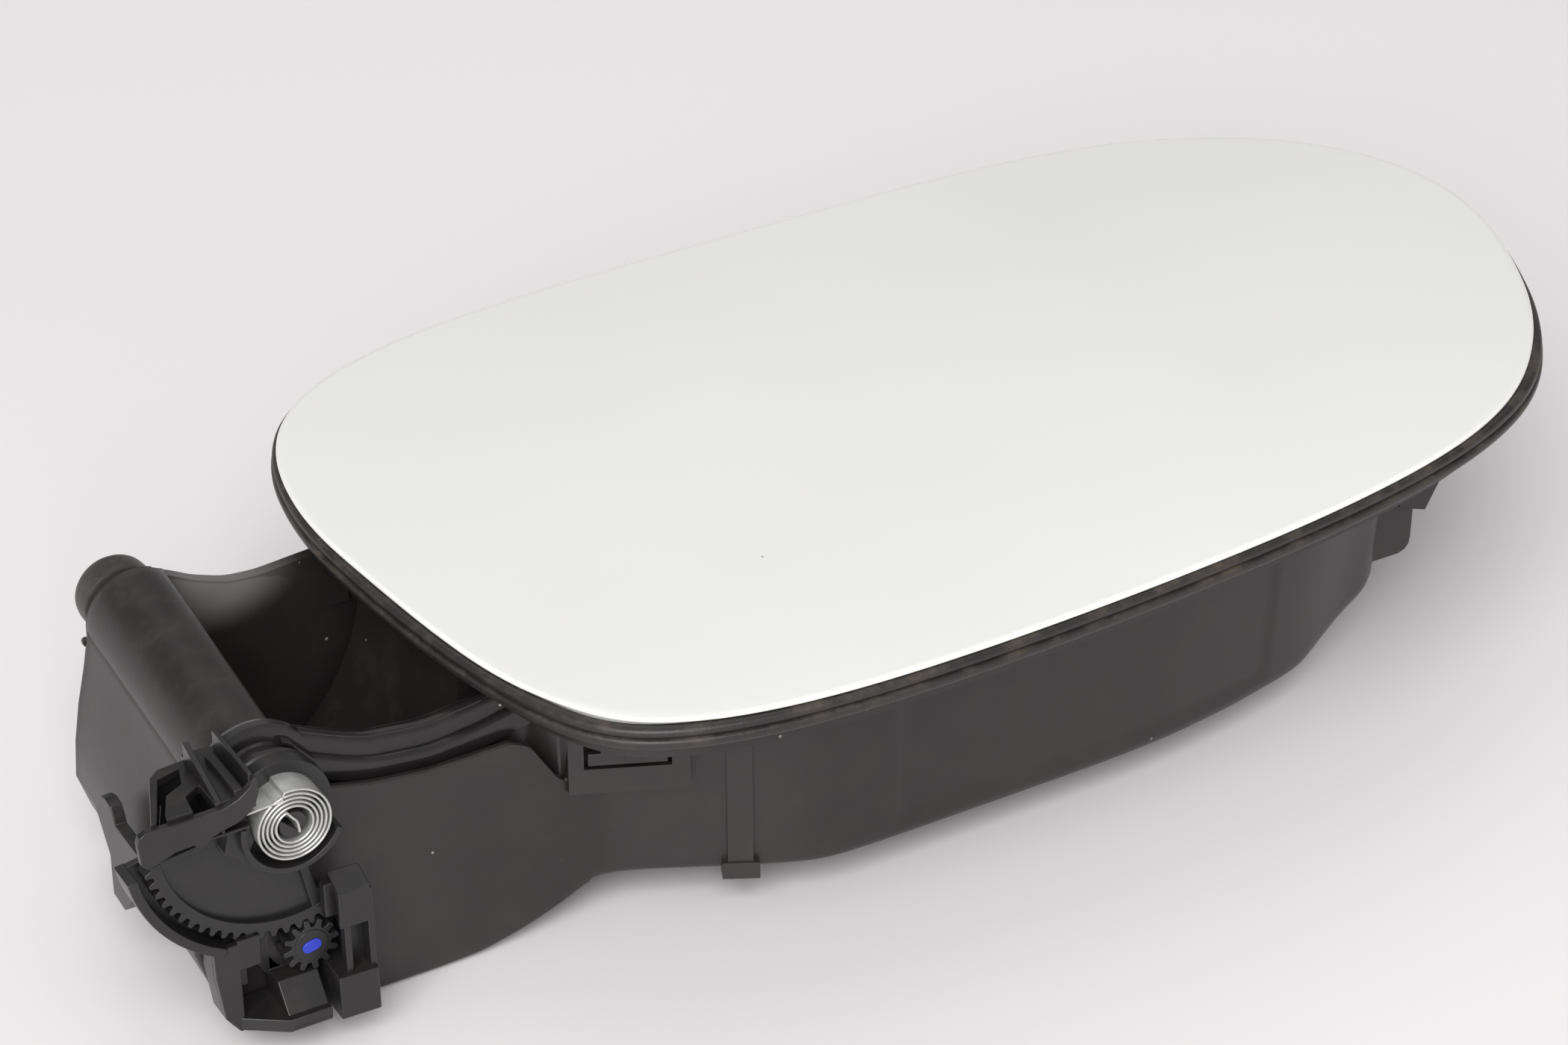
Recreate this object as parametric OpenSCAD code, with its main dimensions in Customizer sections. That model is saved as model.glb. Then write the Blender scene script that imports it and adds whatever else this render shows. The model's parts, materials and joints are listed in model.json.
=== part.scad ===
/* [Flap] */
// Length of the painted flap, along the car
flap_l = 240; // [230:1:250]
// Width of the painted flap, across the hinge
flap_w = 147.2; // [142:0.2:152]
// Height of the flap's crown above its rim
flap_crown = 1.8; // [1.0:0.1:2.2]
// Thickness of the painted skin at its rim
skin_t = 1.0; // [0.8:0.1:1.2]
// Depth of the hem under the rim
hem_h = 0.7; // [0.5:0.1:0.9]
// Width of the hem
hem_w = 6; // [4:0.5:6.5]
// Thickness of the inner carrier plate
carrier_t = 2.2; // [1.8:0.1:2.4]
// Distance from the flap's edge to the inner carrier's edge
carrier_in = 8.4; // [8:0.1:9]

/* [Rim seal] */
// How far the seal's lip stands out past the flap
seal_out = 0.8; // [0.4:0.1:1.2]
// Width of the seal's foot inside the flap's outline
seal_in = 5; // [4.4:0.1:5.2]
// Height of the seal's outer lip
seal_lip_h = 2.7; // [2.2:0.1:3]
// Height of the whole seal
seal_h = 4.1; // [3.6:0.1:4.4]
// Gap between the hem and the seal
seal_gap = 0.3; // [0.3:0.05:0.5]

/* [Hinge] */
// Distance from the flap's end to the hinge axis
hinge_reach = 31.6; // [31:0.1:32.5]
// Depth of the hinge axis under the flap's rim
hinge_drop = 12.3; // [12:0.1:12.8]
// Opening angle of the flap
open_angle = 85; // [70:1:85]
// Radius of the hinge shaft
shaft_r = 3.5; // [3:0.1:3.8]
// Running clearance of the shaft in its bearings
run_gap = 0.05; // [0.02:0.01:0.08]
// Seat clearance of pieces fixed on the shaft
seat_gap = 0.02; // [0.01:0.01:0.03]
// Outer radius of the hood over the hinge
hood_r = 9.2; // [9:0.1:10]
// Length of the hood along the hinge axis
hood_l = 49.8; // [48:0.1:51]
// Middle of the hood across the flap
hood_mid = -4.4; // [-5:0.1:-4]

/* [Gooseneck arm] */
// Inner radius of the arm's arc, which passes inside the seal
arc_r = 40.8; // [40.6:0.1:41]
// Thickness of the arm's wall
arm_t = 1.9; // [1.7:0.1:2]
// Gap between the arm and the pocket's far side
arm_far_gap = 2.2; // [1.5:0.1:4]
// Gap between the arm and the pocket's near side
arm_near_gap = 9.4; // [9:0.1:11]
// Length of the arm's pad under the flap
pad_l = 44; // [38:1:48]

/* [Gear and damper] */
// Module of the sector and the pinion
gear_m = 0.7; // [0.7:0.01:0.71]
// Teeth that the sector would have as a full wheel
sector_teeth = 66; // [64:1:67]
// Teeth of the pinion
pinion_teeth = 12; // [11:1:13]
// Thickness of the sector
sector_t = 3; // [2.6:0.1:3.2]
// Radius of the damper's body
damper_r = 7; // [6.6:0.1:7.3]
// Thickness of the damper's body
damper_t = 5; // [4:0.1:5.4]

/* [Spiral spring] */
// Outer radius of the spiral spring
coil_r = 6.9; // [6.6:0.1:7.1]
// Turns of the spiral spring
coil_turns = 5; // [4.5:0.5:5.5]
// Thickness of the spring strip
strip_t = 0.45; // [0.35:0.05:0.5]
// Width of the spring strip
strip_w = 6.8; // [6:0.1:7]

/* [Housing] */
// Depth of the housing under the flap's rim
depth = 57.2; // [57:0.1:59]
// Wall thickness of the housing
wall = 2.2; // [1.8:0.1:2.3]
// Depth of the bowl's floor under the flap's rim
bowl_depth = 48.7; // [47:0.1:50]
// Thickness of the pocket's floor
pocket_floor_t = 1.9; // [1.6:0.1:2]
// Distance from the pocket's inner side to the near wall's face
near_ledge = 6.8; // [6.6:0.1:7.6]
// Thickness of the deck under the seal
deck_t = 2.2; // [1.8:0.1:2.6]
// Length of the deck behind the bowl's end
shelf_l = 60; // [59:1:62]

/* [Bump stops] */
// Radius of the rubber bump stops
bump_r = 2.6; // [2:0.1:3.2]
// Gap between the bump stops and the closed flap
bump_gap = 0.3; // [0.2:0.05:0.5]

/* [Filler neck boot] */
// Radius of the neck bore in the rubber boot
neck_r = 29; // [27:0.1:30]
// Wall of the rubber boot
boot_t = 2.6; // [2.4:0.1:3]
// Place of the neck along the flap
neck_x = 2; // [-4:0.5:4]
// Place of the neck across the flap
neck_y = -0.5; // [-2:0.5:2]

/* [Lock] */
// Radius of the lock pin
pin_r = 2.5; // [2.2:0.1:2.8]
// Travel of the lock pin
pin_travel = 6; // [5:0.5:6]
// Place of the lock across the flap
lock_y = 10; // [6:0.5:14]

/* [Hidden] */
$fn = 72;
eps = 0.01;
black = [0.09, 0.085, 0.08];
charcoal = [0.13, 0.125, 0.12];
rubber = [0.07, 0.065, 0.06];
paint = [0.92, 0.92, 0.90];
steel = [0.74, 0.75, 0.76];
core_blue = [0.10, 0.16, 0.62];

// Outline of the flap as fractions of its half length and half width, anticlockwise
FLAP_FORM = [
    [-0.95, -0.56], [-0.80, -0.92], [-0.49, -1.00], [0.03, -0.96], [0.53, -0.815],
    [0.82, -0.47], [1.00, 0.15], [0.93, 0.64], [0.72, 0.89], [0.39, 0.995],
    [-0.21, 0.985], [-0.55, 0.95], [-0.83, 0.81], [-0.995, 0.33]
];
loop_steps = 7;

// Heights, measured down from the flap's rim
seal_top = -skin_t - hem_h - seal_gap;
seal_lip_low = seal_top - seal_lip_h;
deck_top = seal_top - seal_h;
deck_low = deck_top - deck_t;
carrier_low = -skin_t - carrier_t;
floor_z = -depth;
bowl_low = -bowl_depth;
hinge_z = -hinge_drop;

// The hinge and its pocket
flap_left = -flap_l / 2;
flap_right = flap_l / 2;
shelf_x = flap_right - shelf_l;
lock_x = flap_right - 22;
hinge_x = flap_left - hinge_reach;
pocket_y0 = hood_mid - hood_l / 2;
pocket_y1 = hood_mid + hood_l / 2;
near_y = pocket_y0 - near_ledge;
far_y = pocket_y1 + wall;
hood_in = hood_r - wall + 0.2;
tube_r = hood_in - 0.7;
arc_out = arc_r + arm_t;
arm_y0 = pocket_y0 + arm_near_gap;
arm_y1 = pocket_y1 - arm_far_gap;
leg_angle = -open_angle - 2;
pad_angle = 11;
pad_rib_in = 4;
pad_rib_t = 2;
head_r = 3.2;
pad_top = carrier_low;
pad_low = pad_top - arm_t;
rim_low = -10.6;
ledge_low = -17.6;
panel_low = -30.4;
neck_boss_r = 7.6;
mouth_x = hinge_x + 3.4;
bend_x = hinge_x - hood_r - 2.7;
bend_z = floor_z + 18;
rise_x = flap_left + 6;
join_x = flap_left + 21;
front_x = hinge_x + 13.5;

// The sector, the pinion and the spring, from the near wall outwards
flange_t = 2;
sector_y1 = near_y - flange_t - 0.2;
sector_y0 = sector_y1 - sector_t;
sector_r = gear_m * sector_teeth / 2;
pinion_pitch = gear_m * pinion_teeth / 2;
mesh_angle = -83.5;
gear_dist = sector_r + pinion_pitch;
pinion_x = hinge_x + gear_dist * cos(mesh_angle);
pinion_z = hinge_z + gear_dist * sin(mesh_angle);
gear_tip = 0.75 * gear_m;
gear_root = 1.05 * gear_m;
sector_pitch_angle = 360 / sector_teeth;
cup_depth = 1.8;
cup_r = coil_r + 0.7;
spring_y1 = sector_y0 + cup_depth - 0.1;
spring_y0 = spring_y1 - strip_w;
post_r = 2.0;
hub_r = 8.8;

// The bracket that holds the spring's outer end
plate_t = 1.6;
bracket_x0 = hinge_x - 25.6;
bracket_x1 = hinge_x - hood_r + 0.2;
bracket_y0 = spring_y0 - 0.2;
bracket_top = hinge_z + 9.9;

// A point on a closed curve that passes smoothly through the points k
function curve_point(k, i, t) = let (
    n = len(k), a = k[(i + n - 1) % n], b = k[i], c = k[(i + 1) % n], d = k[(i + 2) % n])
    0.5 * (2 * b + (c - a) * t + (2 * a - 5 * b + 4 * c - d) * t * t
        + (3 * b - a - 3 * c + d) * t * t * t);

function closed_curve(k, steps) =
    [for (i = [0 : len(k) - 1], s = [0 : steps - 1]) curve_point(k, i, s / steps)];

// The loop p moved outwards by d along its own normals
function moved_out(p, d) = let (n = len(p))
    [for (i = [0 : n - 1]) let (
        t = p[(i + 1) % n] - p[(i + n - 1) % n], u = t / norm(t)) p[i] + d * [u[1], -u[0]]];

function flap_loop(d = 0) =
    moved_out(closed_curve([for (f = FLAP_FORM) [f[0] * flap_l / 2, f[1] * flap_w / 2]], loop_steps), d);

// The whole part stands on its lowest face, centred in its own box
seal_edge = flap_loop(seal_out);
mid_x = (bracket_x0 + max([for (p = seal_edge) p[0]])) / 2;
mid_y = (min([for (p = seal_edge) p[1]]) + max([for (p = seal_edge) p[1]])) / 2;

// The bowl's outline in plan, anticlockwise from where it leaves the pocket
bowl_near = 52;
bowl_far = 50;
BOWL_FORM = [
    [join_x - 8, near_y + 1], [join_x + 5, near_y - 0.1], [join_x + 19, near_y - 6.8],
    [join_x + 37.5, -bowl_near + 0.8], [neck_x - 22, -bowl_near + 0.6], [neck_x + 12, -bowl_near + 3.6],
    [shelf_x - 22, -bowl_near + 9], [shelf_x - 5, -bowl_near + 22], [shelf_x, -bowl_near + 44],
    [shelf_x, 8], [shelf_x - 6, 30],
    [shelf_x - 24, 43], [neck_x + 8, bowl_far - 2], [neck_x - 30, bowl_far],
    [join_x + 36, bowl_far - 4], [join_x + 14, far_y + 11], [join_x - 8, far_y - 1]
];

function bowl_loop(d = 0) = moved_out(closed_curve(BOWL_FORM, 5), d);

// Height of the pocket's rim at the share t of the way from the hood to the bowl
function dip(top, low, t) = top + (low - top) * (1 - cos(180 * t)) / 2;

module stand() {
    translate([-mid_x, -mid_y, depth])
        children();
}

// Turns a drawing in X and Z into a solid from y0 to y1
module along_y(y0, y1) {
    translate([0, y1, 0])
        rotate([90, 0, 0])
            linear_extrude(y1 - y0)
                children();
}

module disc_y(x, z, r, y0, y1) {
    translate([x, y1, z])
        rotate([90, 0, 0])
            cylinder(r = r, h = y1 - y0);
}

module block(x0, x1, y0, y1, z0, z1) {
    translate([x0, y0, z0])
        cube([x1 - x0, y1 - y0, z1 - z0]);
}

module plan(z0, z1) {
    translate([0, 0, z0])
        linear_extrude(z1 - z0)
            children();
}

// Part of a tube about the hinge axis, from angle a0 to a1 above the X axis
module hinge_arc(r0, r1, a0, a1, y0, y1) {
    translate([hinge_x, y1, hinge_z])
        rotate([90, 0, 0])
            rotate([0, 0, a0])
                rotate_extrude(angle = a1 - a0, $fn = 144)
                    translate([r0, 0])
                        square([r1 - r0, y1 - y0]);
}

// The painted skin: a crowned sheet with a round edge and a hem
module flap_skin() {
    edge = [[0, -skin_t - hem_h], [0, -0.7], [-0.12, -0.35], [-0.45, -0.1], [-1.0, 0]];
    crown_steps = 6;
    edge_loops = [for (e = edge) [for (p = flap_loop(e[0])) [p[0], p[1], e[1]]]];
    top_loops = [for (i = [1 : crown_steps]) let (s = 1 - i / crown_steps * 0.96)
        [for (p = flap_loop(-1.0)) [p[0] * s, p[1] * s, flap_crown * (1 - s * s)]]];
    low_loops = [
        [for (p = flap_loop(-hem_w)) [p[0], p[1], -skin_t]],
        [for (p = flap_loop(-hem_w)) [p[0], p[1], -skin_t - hem_h]]
    ];
    loops = concat(low_loops, edge_loops, top_loops);
    n = len(loops[0]);
    m = len(loops);
    points = [for (l = loops, p = l) p];
    sides = [for (j = [0 : m - 2], i = [0 : n - 1]) each [
        [j * n + i, (j + 1) * n + i, j * n + (i + 1) % n],
        [(j + 1) * n + i, (j + 1) * n + (i + 1) % n, j * n + (i + 1) % n]]];
    color(paint)
        stand()
            polyhedron(points, concat(sides, [[for (i = [0 : n - 1]) i]],
                [[for (i = [0 : n - 1]) m * n - 1 - i]]));
}

// The inner carrier: a plate with a frame rib, cross ribs and a recess for the arm's pad
module flap_carrier() {
    rib_h = 2.4;
    color(charcoal)
        stand()
            difference() {
                union() {
                    plan(carrier_low, -skin_t)
                        polygon(flap_loop(-carrier_in));
                    plan(carrier_low - rib_h, carrier_low + eps)
                        difference() {
                            polygon(flap_loop(-carrier_in - 12));
                            polygon(flap_loop(-carrier_in - 14));
                            translate([hinge_x, -flap_w])
                                square([arc_out + pad_l + 4, 2 * flap_w]);
                        }
                    for (x = [-20, 10, 40, 70])
                        block(x, x + 1.6, -34, 36, carrier_low - rib_h, carrier_low + eps);
                    for (y = [-34, 0, 34])
                        block(-50, 74, y, y + 1.6, carrier_low - rib_h, carrier_low + eps);
                }
                // The frame rib stops either side of the striker's foot
                block(lock_x - 6, lock_x + 6.5, lock_y - 9, lock_y + 9, carrier_low - 4, carrier_low);
                bump_places()
                    translate([0, 0, carrier_low - 4])
                        cylinder(r = bump_r + 1.4, h = 4);
                arm_screw_places()
                    translate([0, 0, carrier_low - eps])
                        cylinder(r = 1.6, h = carrier_t - 0.6);
                striker_places()
                    translate([0, 0, carrier_low - rib_h - eps])
                        cylinder(r = 1.3, h = rib_h + carrier_t - 0.6);
            }
}

module arm_screw_places() {
    mid_gap = (arm_y1 - arm_y0) / 2 - pad_rib_in - pad_rib_t - head_r - 1;
    for (x = [12, 34], y = [-mid_gap, mid_gap])
        translate([hinge_x + arc_out + x, (arm_y0 + arm_y1) / 2 + y, 0])
            children();
}

// The gooseneck: a sleeve on the shaft, a leg, an arc about the hinge axis and a pad
module hinge_arm() {
    rib_t = 2;
    pad_x0 = hinge_x + arc_r * cos(pad_angle) - 1;
    pad_x1 = hinge_x + arc_out + pad_l;
    color(black)
        stand()
            difference() {
                union() {
                    disc_y(hinge_x, hinge_z, tube_r, pocket_y0 + 1, pocket_y1 - 1);
                    translate([hinge_x, 0, hinge_z])
                        rotate([0, -leg_angle, 0])
                            block(0, arc_out - 0.5, arm_y0, arm_y1, -1.5, 1.5);
                    hinge_arc(arc_r, arc_out, leg_angle - 1.6, pad_angle + 1, arm_y0, arm_y1);
                    for (y = [arm_y0, arm_y1 - rib_t])
                        hinge_arc(arc_out - eps, arc_out + 4, -50, 2, y, y + rib_t);
                    block(pad_x0, pad_x1, arm_y0 + pad_rib_in, arm_y1 - pad_rib_in, pad_low, pad_top);
                    for (y = [arm_y0 + pad_rib_in, arm_y1 - pad_rib_in - pad_rib_t])
                        along_y(y, y + pad_rib_t)
                            polygon([
                                [pad_x0 + 1, pad_low + eps], [hinge_x + arc_out - 0.6, pad_low - 6],
                                [hinge_x + arc_out + 2, pad_low - 6], [pad_x1 - 4, pad_low - 1],
                                [pad_x1 - 4, pad_low + eps]]);
                }
                disc_y(hinge_x, hinge_z, shaft_r + seat_gap, pocket_y0, pocket_y1);
                arm_screw_places()
                    translate([0, 0, pad_low - eps])
                        cylinder(r = 1.9, h = arm_t + 2 * eps);
            }
}

// Four pan-head screws that hold the arm's pad to the carrier
module arm_screws() {
    color(steel)
        stand()
            arm_screw_places() {
                translate([0, 0, pad_low - 1.6])
                    difference() {
                        cylinder(r = head_r, h = 1.6);
                        translate([0, 0, -eps])
                            cylinder(r = 1.2, h = 0.9, $fn = 6);
                    }
                translate([0, 0, pad_low - eps])
                    cylinder(r = 1.5, h = arm_t + carrier_t - 1);
            }
}

// The hinge shaft, with a slotted post for the spring's inner end
module hinge_shaft() {
    slot_w = strip_t + 0.2;
    color(charcoal)
        stand()
            difference() {
                union() {
                    disc_y(hinge_x, hinge_z, shaft_r, spring_y1 + 0.05, far_y + 3);
                    disc_y(hinge_x, hinge_z, post_r, spring_y0 - 0.4, spring_y1 + 0.1);
                }
                translate([hinge_x, spring_y0 - 1, hinge_z])
                    rotate([0, 60, 0])
                        block(-0.1, post_r + 1, 0, strip_w + 1, -slot_w / 2, slot_w / 2);
            }
}

// One tooth of the gears: flanks that narrow from root to tip, centred on angle 0
module tooth(r, teeth) {
    pitch = 360 / teeth;
    half = pitch * 0.215;
    tip = half * (r - gear_tip) / r * 0.46;
    foot = half * 1.55;
    polygon([
        (r - gear_root - 0.1) * [cos(foot), -sin(foot)], r * [cos(half), -sin(half)],
        (r + gear_tip) * [cos(tip), -sin(tip)], (r + gear_tip) * [cos(tip), sin(tip)],
        r * [cos(half), sin(half)], (r - gear_root - 0.1) * [cos(foot), sin(foot)]]);
}

// The toothed sector: a plate with a thick rim, a rib and a cup for the spring
module gear_sector() {
    first = 1 - floor((open_angle + 8) / sector_pitch_angle);
    last = 1;
    a0 = mesh_angle + (first - 0.5) * sector_pitch_angle;
    a1 = mesh_angle + (last + 0.5) * sector_pitch_angle;
    rim = sector_r - gear_root;
    color(charcoal)
        stand()
            difference() {
                union() {
                    along_y(sector_y0, sector_y1)
                        translate([hinge_x, hinge_z])
                            for (i = [first : last])
                                rotate(mesh_angle + i * sector_pitch_angle)
                                    tooth(sector_r, sector_teeth);
                    hinge_arc(rim - 2.4, rim, a0, a1, sector_y0, sector_y1);
                    hinge_arc(hub_r - 1, rim - 2.3, a0 + 1, a1 - 1, sector_y0 + cup_depth, sector_y1);
                    for (a = [a0, a1 - 6])
                        hinge_arc(hub_r - 0.5, rim - 2.2, a, a + 6, sector_y0, sector_y1 - 0.2);
                    disc_y(hinge_x, hinge_z, hub_r, sector_y0 + cup_depth, sector_y1);
                    hinge_arc(cup_r, hub_r - 0.3, 205, 368, sector_y0 - 1.4, sector_y0 + cup_depth + 0.4);
                }
                disc_y(hinge_x, hinge_z, shaft_r + seat_gap, sector_y0 - 1, sector_y1 + 1);
            }
}

module striker_places() {
    for (y = [-5, 5])
        translate([lock_x, lock_y + y, 0])
            children();
}

// The striker under the flap: a foot with two screws' bosses and an eye for the lock pin
module striker() {
    foot_t = 2;
    rib_h = 2.4;
    foot_low = carrier_low - foot_t;
    eye_z = deck_low - 4.6;
    eye_r = pin_r + 1.2;
    eye_x = lock_x + 3;
    eye_t = 2.5;
    color(black)
        stand()
            difference() {
                union() {
                    block(lock_x - 5, eye_x + eye_t, lock_y - 8, lock_y + 8, foot_low, carrier_low);
                    block(eye_x, eye_x + eye_t, lock_y - eye_r - 2, lock_y + eye_r + 2, eye_z, foot_low + eps);
                    translate([eye_x, lock_y, eye_z])
                        rotate([0, 90, 0])
                            cylinder(r = eye_r + 2, h = eye_t);
                    striker_places()
                        translate([0, 0, carrier_low - eps])
                            cylinder(r = 1.25, h = carrier_t - 0.8);
                }
                translate([eye_x - 1, lock_y, eye_z])
                    rotate([0, 90, 0])
                        cylinder(r = eye_r, h = eye_t + 2);
            }
}

// The pocket's rim in side view: from the hood it dips to rim_low and rises to the deck
function rim_line(x0, top, rim_low) = let (x1 = flap_left - 3, x2 = join_x - 3) concat(
    [for (t = [0 : 0.125 : 1]) [x0 + (x1 - x0) * t, dip(top, rim_low, t)]],
    [for (t = [0.2 : 0.2 : 1]) [x1 + (x2 - x1) * t, dip(rim_low, deck_low + eps, t)]]);

// Side view of the pocket: the hood, the sloping left wall, the dipping rim and the belly
module pocket_side(rim_x0, top, rim_low) {
    polygon(concat(
        [[bend_x + 7, floor_z], [bend_x + 2.7, bend_z - 8.4], [bend_x + 0.9, bend_z - 4],
            [bend_x, bend_z], [hinge_x - hood_r, hinge_z], [hinge_x, hinge_z]],
        rim_line(rim_x0, top, rim_low),
        [[join_x, deck_low + eps], [join_x, bowl_low], [rise_x, floor_z]]));
}

// The space inside the pocket, open towards the bowl
module pocket_room() {
    polygon([
        [bend_x + 8.6, floor_z + pocket_floor_t], [bend_x + 4.9, bend_z - 8.4], [bend_x + wall, bend_z],
        [hinge_x - hood_in, hinge_z], [mouth_x, hinge_z], [mouth_x, 5], [join_x + 4, 5],
        [join_x + 4, bowl_low + wall], [join_x, bowl_low + wall], [rise_x, floor_z + pocket_floor_t]]);
    translate([hinge_x, hinge_z])
        circle(r = hood_in);
}

// The bowl's end slopes up under the shelf
module bowl_side(t) {
    cut = 16.5;
    polygon([
        [join_x - 30, bowl_low + t], [shelf_x - cut - t * 0.3, bowl_low + t],
        [shelf_x - t * 0.8, bowl_low + cut + t * 0.3], [shelf_x + 30, bowl_low + cut + t],
        [shelf_x + 30, 5], [join_x - 30, 5]]);
}

module pocket_shell() {
    step_y = near_y + 3;
    difference() {
        union() {
            along_y(pocket_y0 - wall, far_y) {
                pocket_side(hinge_x - 1, hinge_z + hood_r, rim_low);
                translate([hinge_x, hinge_z])
                    circle(r = hood_r);
            }
            along_y(near_y, pocket_y0 - wall + eps) {
                difference() {
                    pocket_side(hinge_x + neck_boss_r, hinge_z - 1, ledge_low);
                    // The open corner between the pocket's ledge and the clip panel
                    polygon([[join_x - 9, deck_low + 1], [join_x - 8.4, ledge_low - 0.4],
                        [join_x - 6.4, ledge_low - 1.7], [join_x - 1.1, panel_low + 0.5],
                        [join_x + 1, panel_low + 0.5], [join_x + 1, deck_low + 1]]);
                }
                translate([hinge_x, hinge_z])
                    circle(r = neck_boss_r);
            }
        }
        along_y(pocket_y0, pocket_y1)
            pocket_room();
        // The hollow between the pocket's side and the near wall, open below
        block(front_x, join_x - 3, step_y, pocket_y0 - wall, floor_z - 1, ledge_low - 1.8);
        // Seats of the two bearings
        disc_y(hinge_x, hinge_z, shaft_r + 1.5, near_y - 1, pocket_y0 + 1);
        disc_y(hinge_x, hinge_z, shaft_r + 1.5, pocket_y1 - 1, far_y + 1);
        // The damper's body reaches through the near wall
        disc_y(pinion_x, pinion_z, damper_r + 0.5, near_y - 1, near_y + damper_t - 0.8);
    }
}

module bowl_shell() {
    difference() {
        intersection() {
            plan(bowl_low, deck_top)
                polygon(bowl_loop());
            along_y(-90, 90)
                bowl_side(0);
        }
        intersection() {
            plan(bowl_low, 1)
                polygon(bowl_loop(-wall));
            along_y(-90, 90)
                bowl_side(wall);
        }
        along_y(pocket_y0, pocket_y1)
            pocket_room();
        translate([neck_x, neck_y, bowl_low - 1])
            cylinder(r = neck_r + boot_t + 2, h = 6);
    }
}

// The deck carries the seal; it leaves the bowl's mouth and the arm's way open
module deck() {
    difference() {
        plan(deck_low, deck_top)
            difference() {
                polygon(flap_loop(-3));
                polygon(bowl_loop(-wall));
                translate([hinge_x, pocket_y0])
                    square([join_x + 8 - hinge_x, hood_l]);
                translate([hinge_x, -flap_w])
                    square([flap_left + 9 - hinge_x, flap_w * 2]);
                translate([lock_x + 1, lock_y - 8])
                    square([6.6, 16]);
            }
        actuator_screw_places()
            translate([0, 0, deck_low - 1])
                cylinder(r = 1.6, h = deck_t + 2);
    }
}

// Ribs under the deck that stiffen it around the bowl
module deck_ribs() {
    rib_t = 1.8;
    drop = 9;
    for (r = [[-14, -38], [-8, -16], [28, 24]])
        translate([shelf_x - 4, r[0], 0])
            rotate([0, 0, r[1]])
                along_y(-rib_t / 2, rib_t / 2)
                    polygon([[2.5, deck_low - drop], [38, deck_low - 2], [38, deck_low + eps],
                        [2.5, deck_low + eps]]);
    for (x = [-60, -28, 20])
        block(x, x + rib_t, bowl_far - 3.6, bowl_far + 9, deck_low - drop, deck_low + eps);
    for (x = [-64, -10])
        block(x, x + rib_t, -bowl_near - 8, -bowl_near + 1.6, deck_low - 3, deck_low + eps);
}

// The rib, the clip panel and the corner boss that show on the near wall
module near_wall_details() {
    rib_x = join_x + 23.9;
    panel_x = join_x - 0.8;
    tongue_low = panel_low + 5.7;
    plan(bowl_low - 1.2, deck_low + eps)
        polygon([[rib_x, near_y - 10], [rib_x + 3.8, near_y - 11.8], [rib_x + 4.8, near_y - 8],
            [rib_x + 0.6, near_y - 6]]);
    difference() {
        plan(panel_low, deck_low + eps)
            polygon([[panel_x, near_y - 1.1], [panel_x + 18.3, near_y - 9.2],
                [panel_x + 20, near_y - 6.6], [panel_x + 8, near_y + 1], [panel_x - 3, near_y + 1]]);
        // The U-shaped slot that frees the snap tongue, and the window beside it
        for (x = [2.5, 14.8])
            block(panel_x + x, panel_x + x + 0.8, near_y - 14, near_y + 1, tongue_low, deck_low - 1);
        block(panel_x + 2.5, panel_x + 15.6, near_y - 14, near_y + 1, tongue_low, tongue_low + 0.8);
        block(panel_x + 2.5, panel_x + 4.9, near_y - 14, near_y + 1, tongue_low + 2.6, deck_low - 3);
    }
    block(shelf_x - 5.5, shelf_x + 0.6, -bowl_near + 8.6, -bowl_near + 20, bowl_low + 16.4,
        deck_low + eps);
    along_y(-bowl_near + 14, -bowl_near + 16)
        polygon([[shelf_x, deck_low + eps], [shelf_x, bowl_low + 22], [shelf_x + 3, bowl_low + 22],
            [shelf_x + 9, deck_low + eps]]);
}

// The moulded tub: the pocket with its hood, the bowl, the deck and their ribs
module housing() {
    color(black)
        stand() {
            difference() {
                union() {
                    difference() {
                        pocket_shell();
                        // The bowl's own room runs on through the pocket's open side
                        intersection() {
                            plan(bowl_low + wall, 1)
                                polygon(bowl_loop(-wall));
                            along_y(-90, 90)
                                bowl_side(wall);
                        }
                    }
                    bowl_shell();
                    deck();
                    deck_ribs();
                    near_wall_details();
                }
                along_y(arm_y0 - 1, arm_y1 + 1)
                    pocket_room();
            }
        }
}

// A flat ring between two offsets of the flap's outline
module ring(z0, z1, d0, d1) {
    plan(z0, z1)
        difference() {
            polygon(flap_loop(d1));
            polygon(flap_loop(d0));
        }
}

// The rubber rim seal: an outer lip, a lower lip and a foot on the deck
module rim_seal() {
    lip_mid = seal_top - seal_lip_h * 0.45;
    lip_in = 2.6;
    color(rubber)
        stand()
            union() {
                ring(lip_mid, seal_top, -lip_in, seal_out - 0.5);
                ring(seal_lip_low, lip_mid + eps, -lip_in, seal_out);
                ring(deck_top, seal_lip_low + 0.4, -seal_in, -2.2);
            }
}

// The moulded lip along the near edge of the pocket: two ridges with a groove between
module pocket_lip() {
    inner = pocket_y0 - wall;
    color(rubber)
        stand()
            for (r = [[inner - 2, inner, rim_low - 0.6], [inner - 3.6, inner - 2, rim_low - 3.2]])
                along_y(r[0], r[1])
                    difference() {
                        intersection() {
                            polygon(concat(rim_line(hinge_x + neck_boss_r, hinge_z + 4, r[2]),
                                [[join_x - 3, -30], [hinge_x + neck_boss_r, -30]]));
                            translate([hinge_x + neck_boss_r, -30])
                                square([flap_left + 9 - hinge_x - neck_boss_r, 30]);
                        }
                        pocket_side(hinge_x + neck_boss_r, hinge_z - 1, ledge_low);
                    }
}

// The flanged bush in the near bearing seat
module near_bush() {
    color(charcoal)
        stand()
            difference() {
                union() {
                    disc_y(hinge_x, hinge_z, shaft_r + 1.48, near_y - eps, pocket_y0 + 0.6);
                    disc_y(hinge_x, hinge_z, 7.8, near_y - flange_t, near_y);
                }
                disc_y(hinge_x, hinge_z, shaft_r + run_gap, near_y - 5, pocket_y0 + 5);
            }
}

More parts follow.
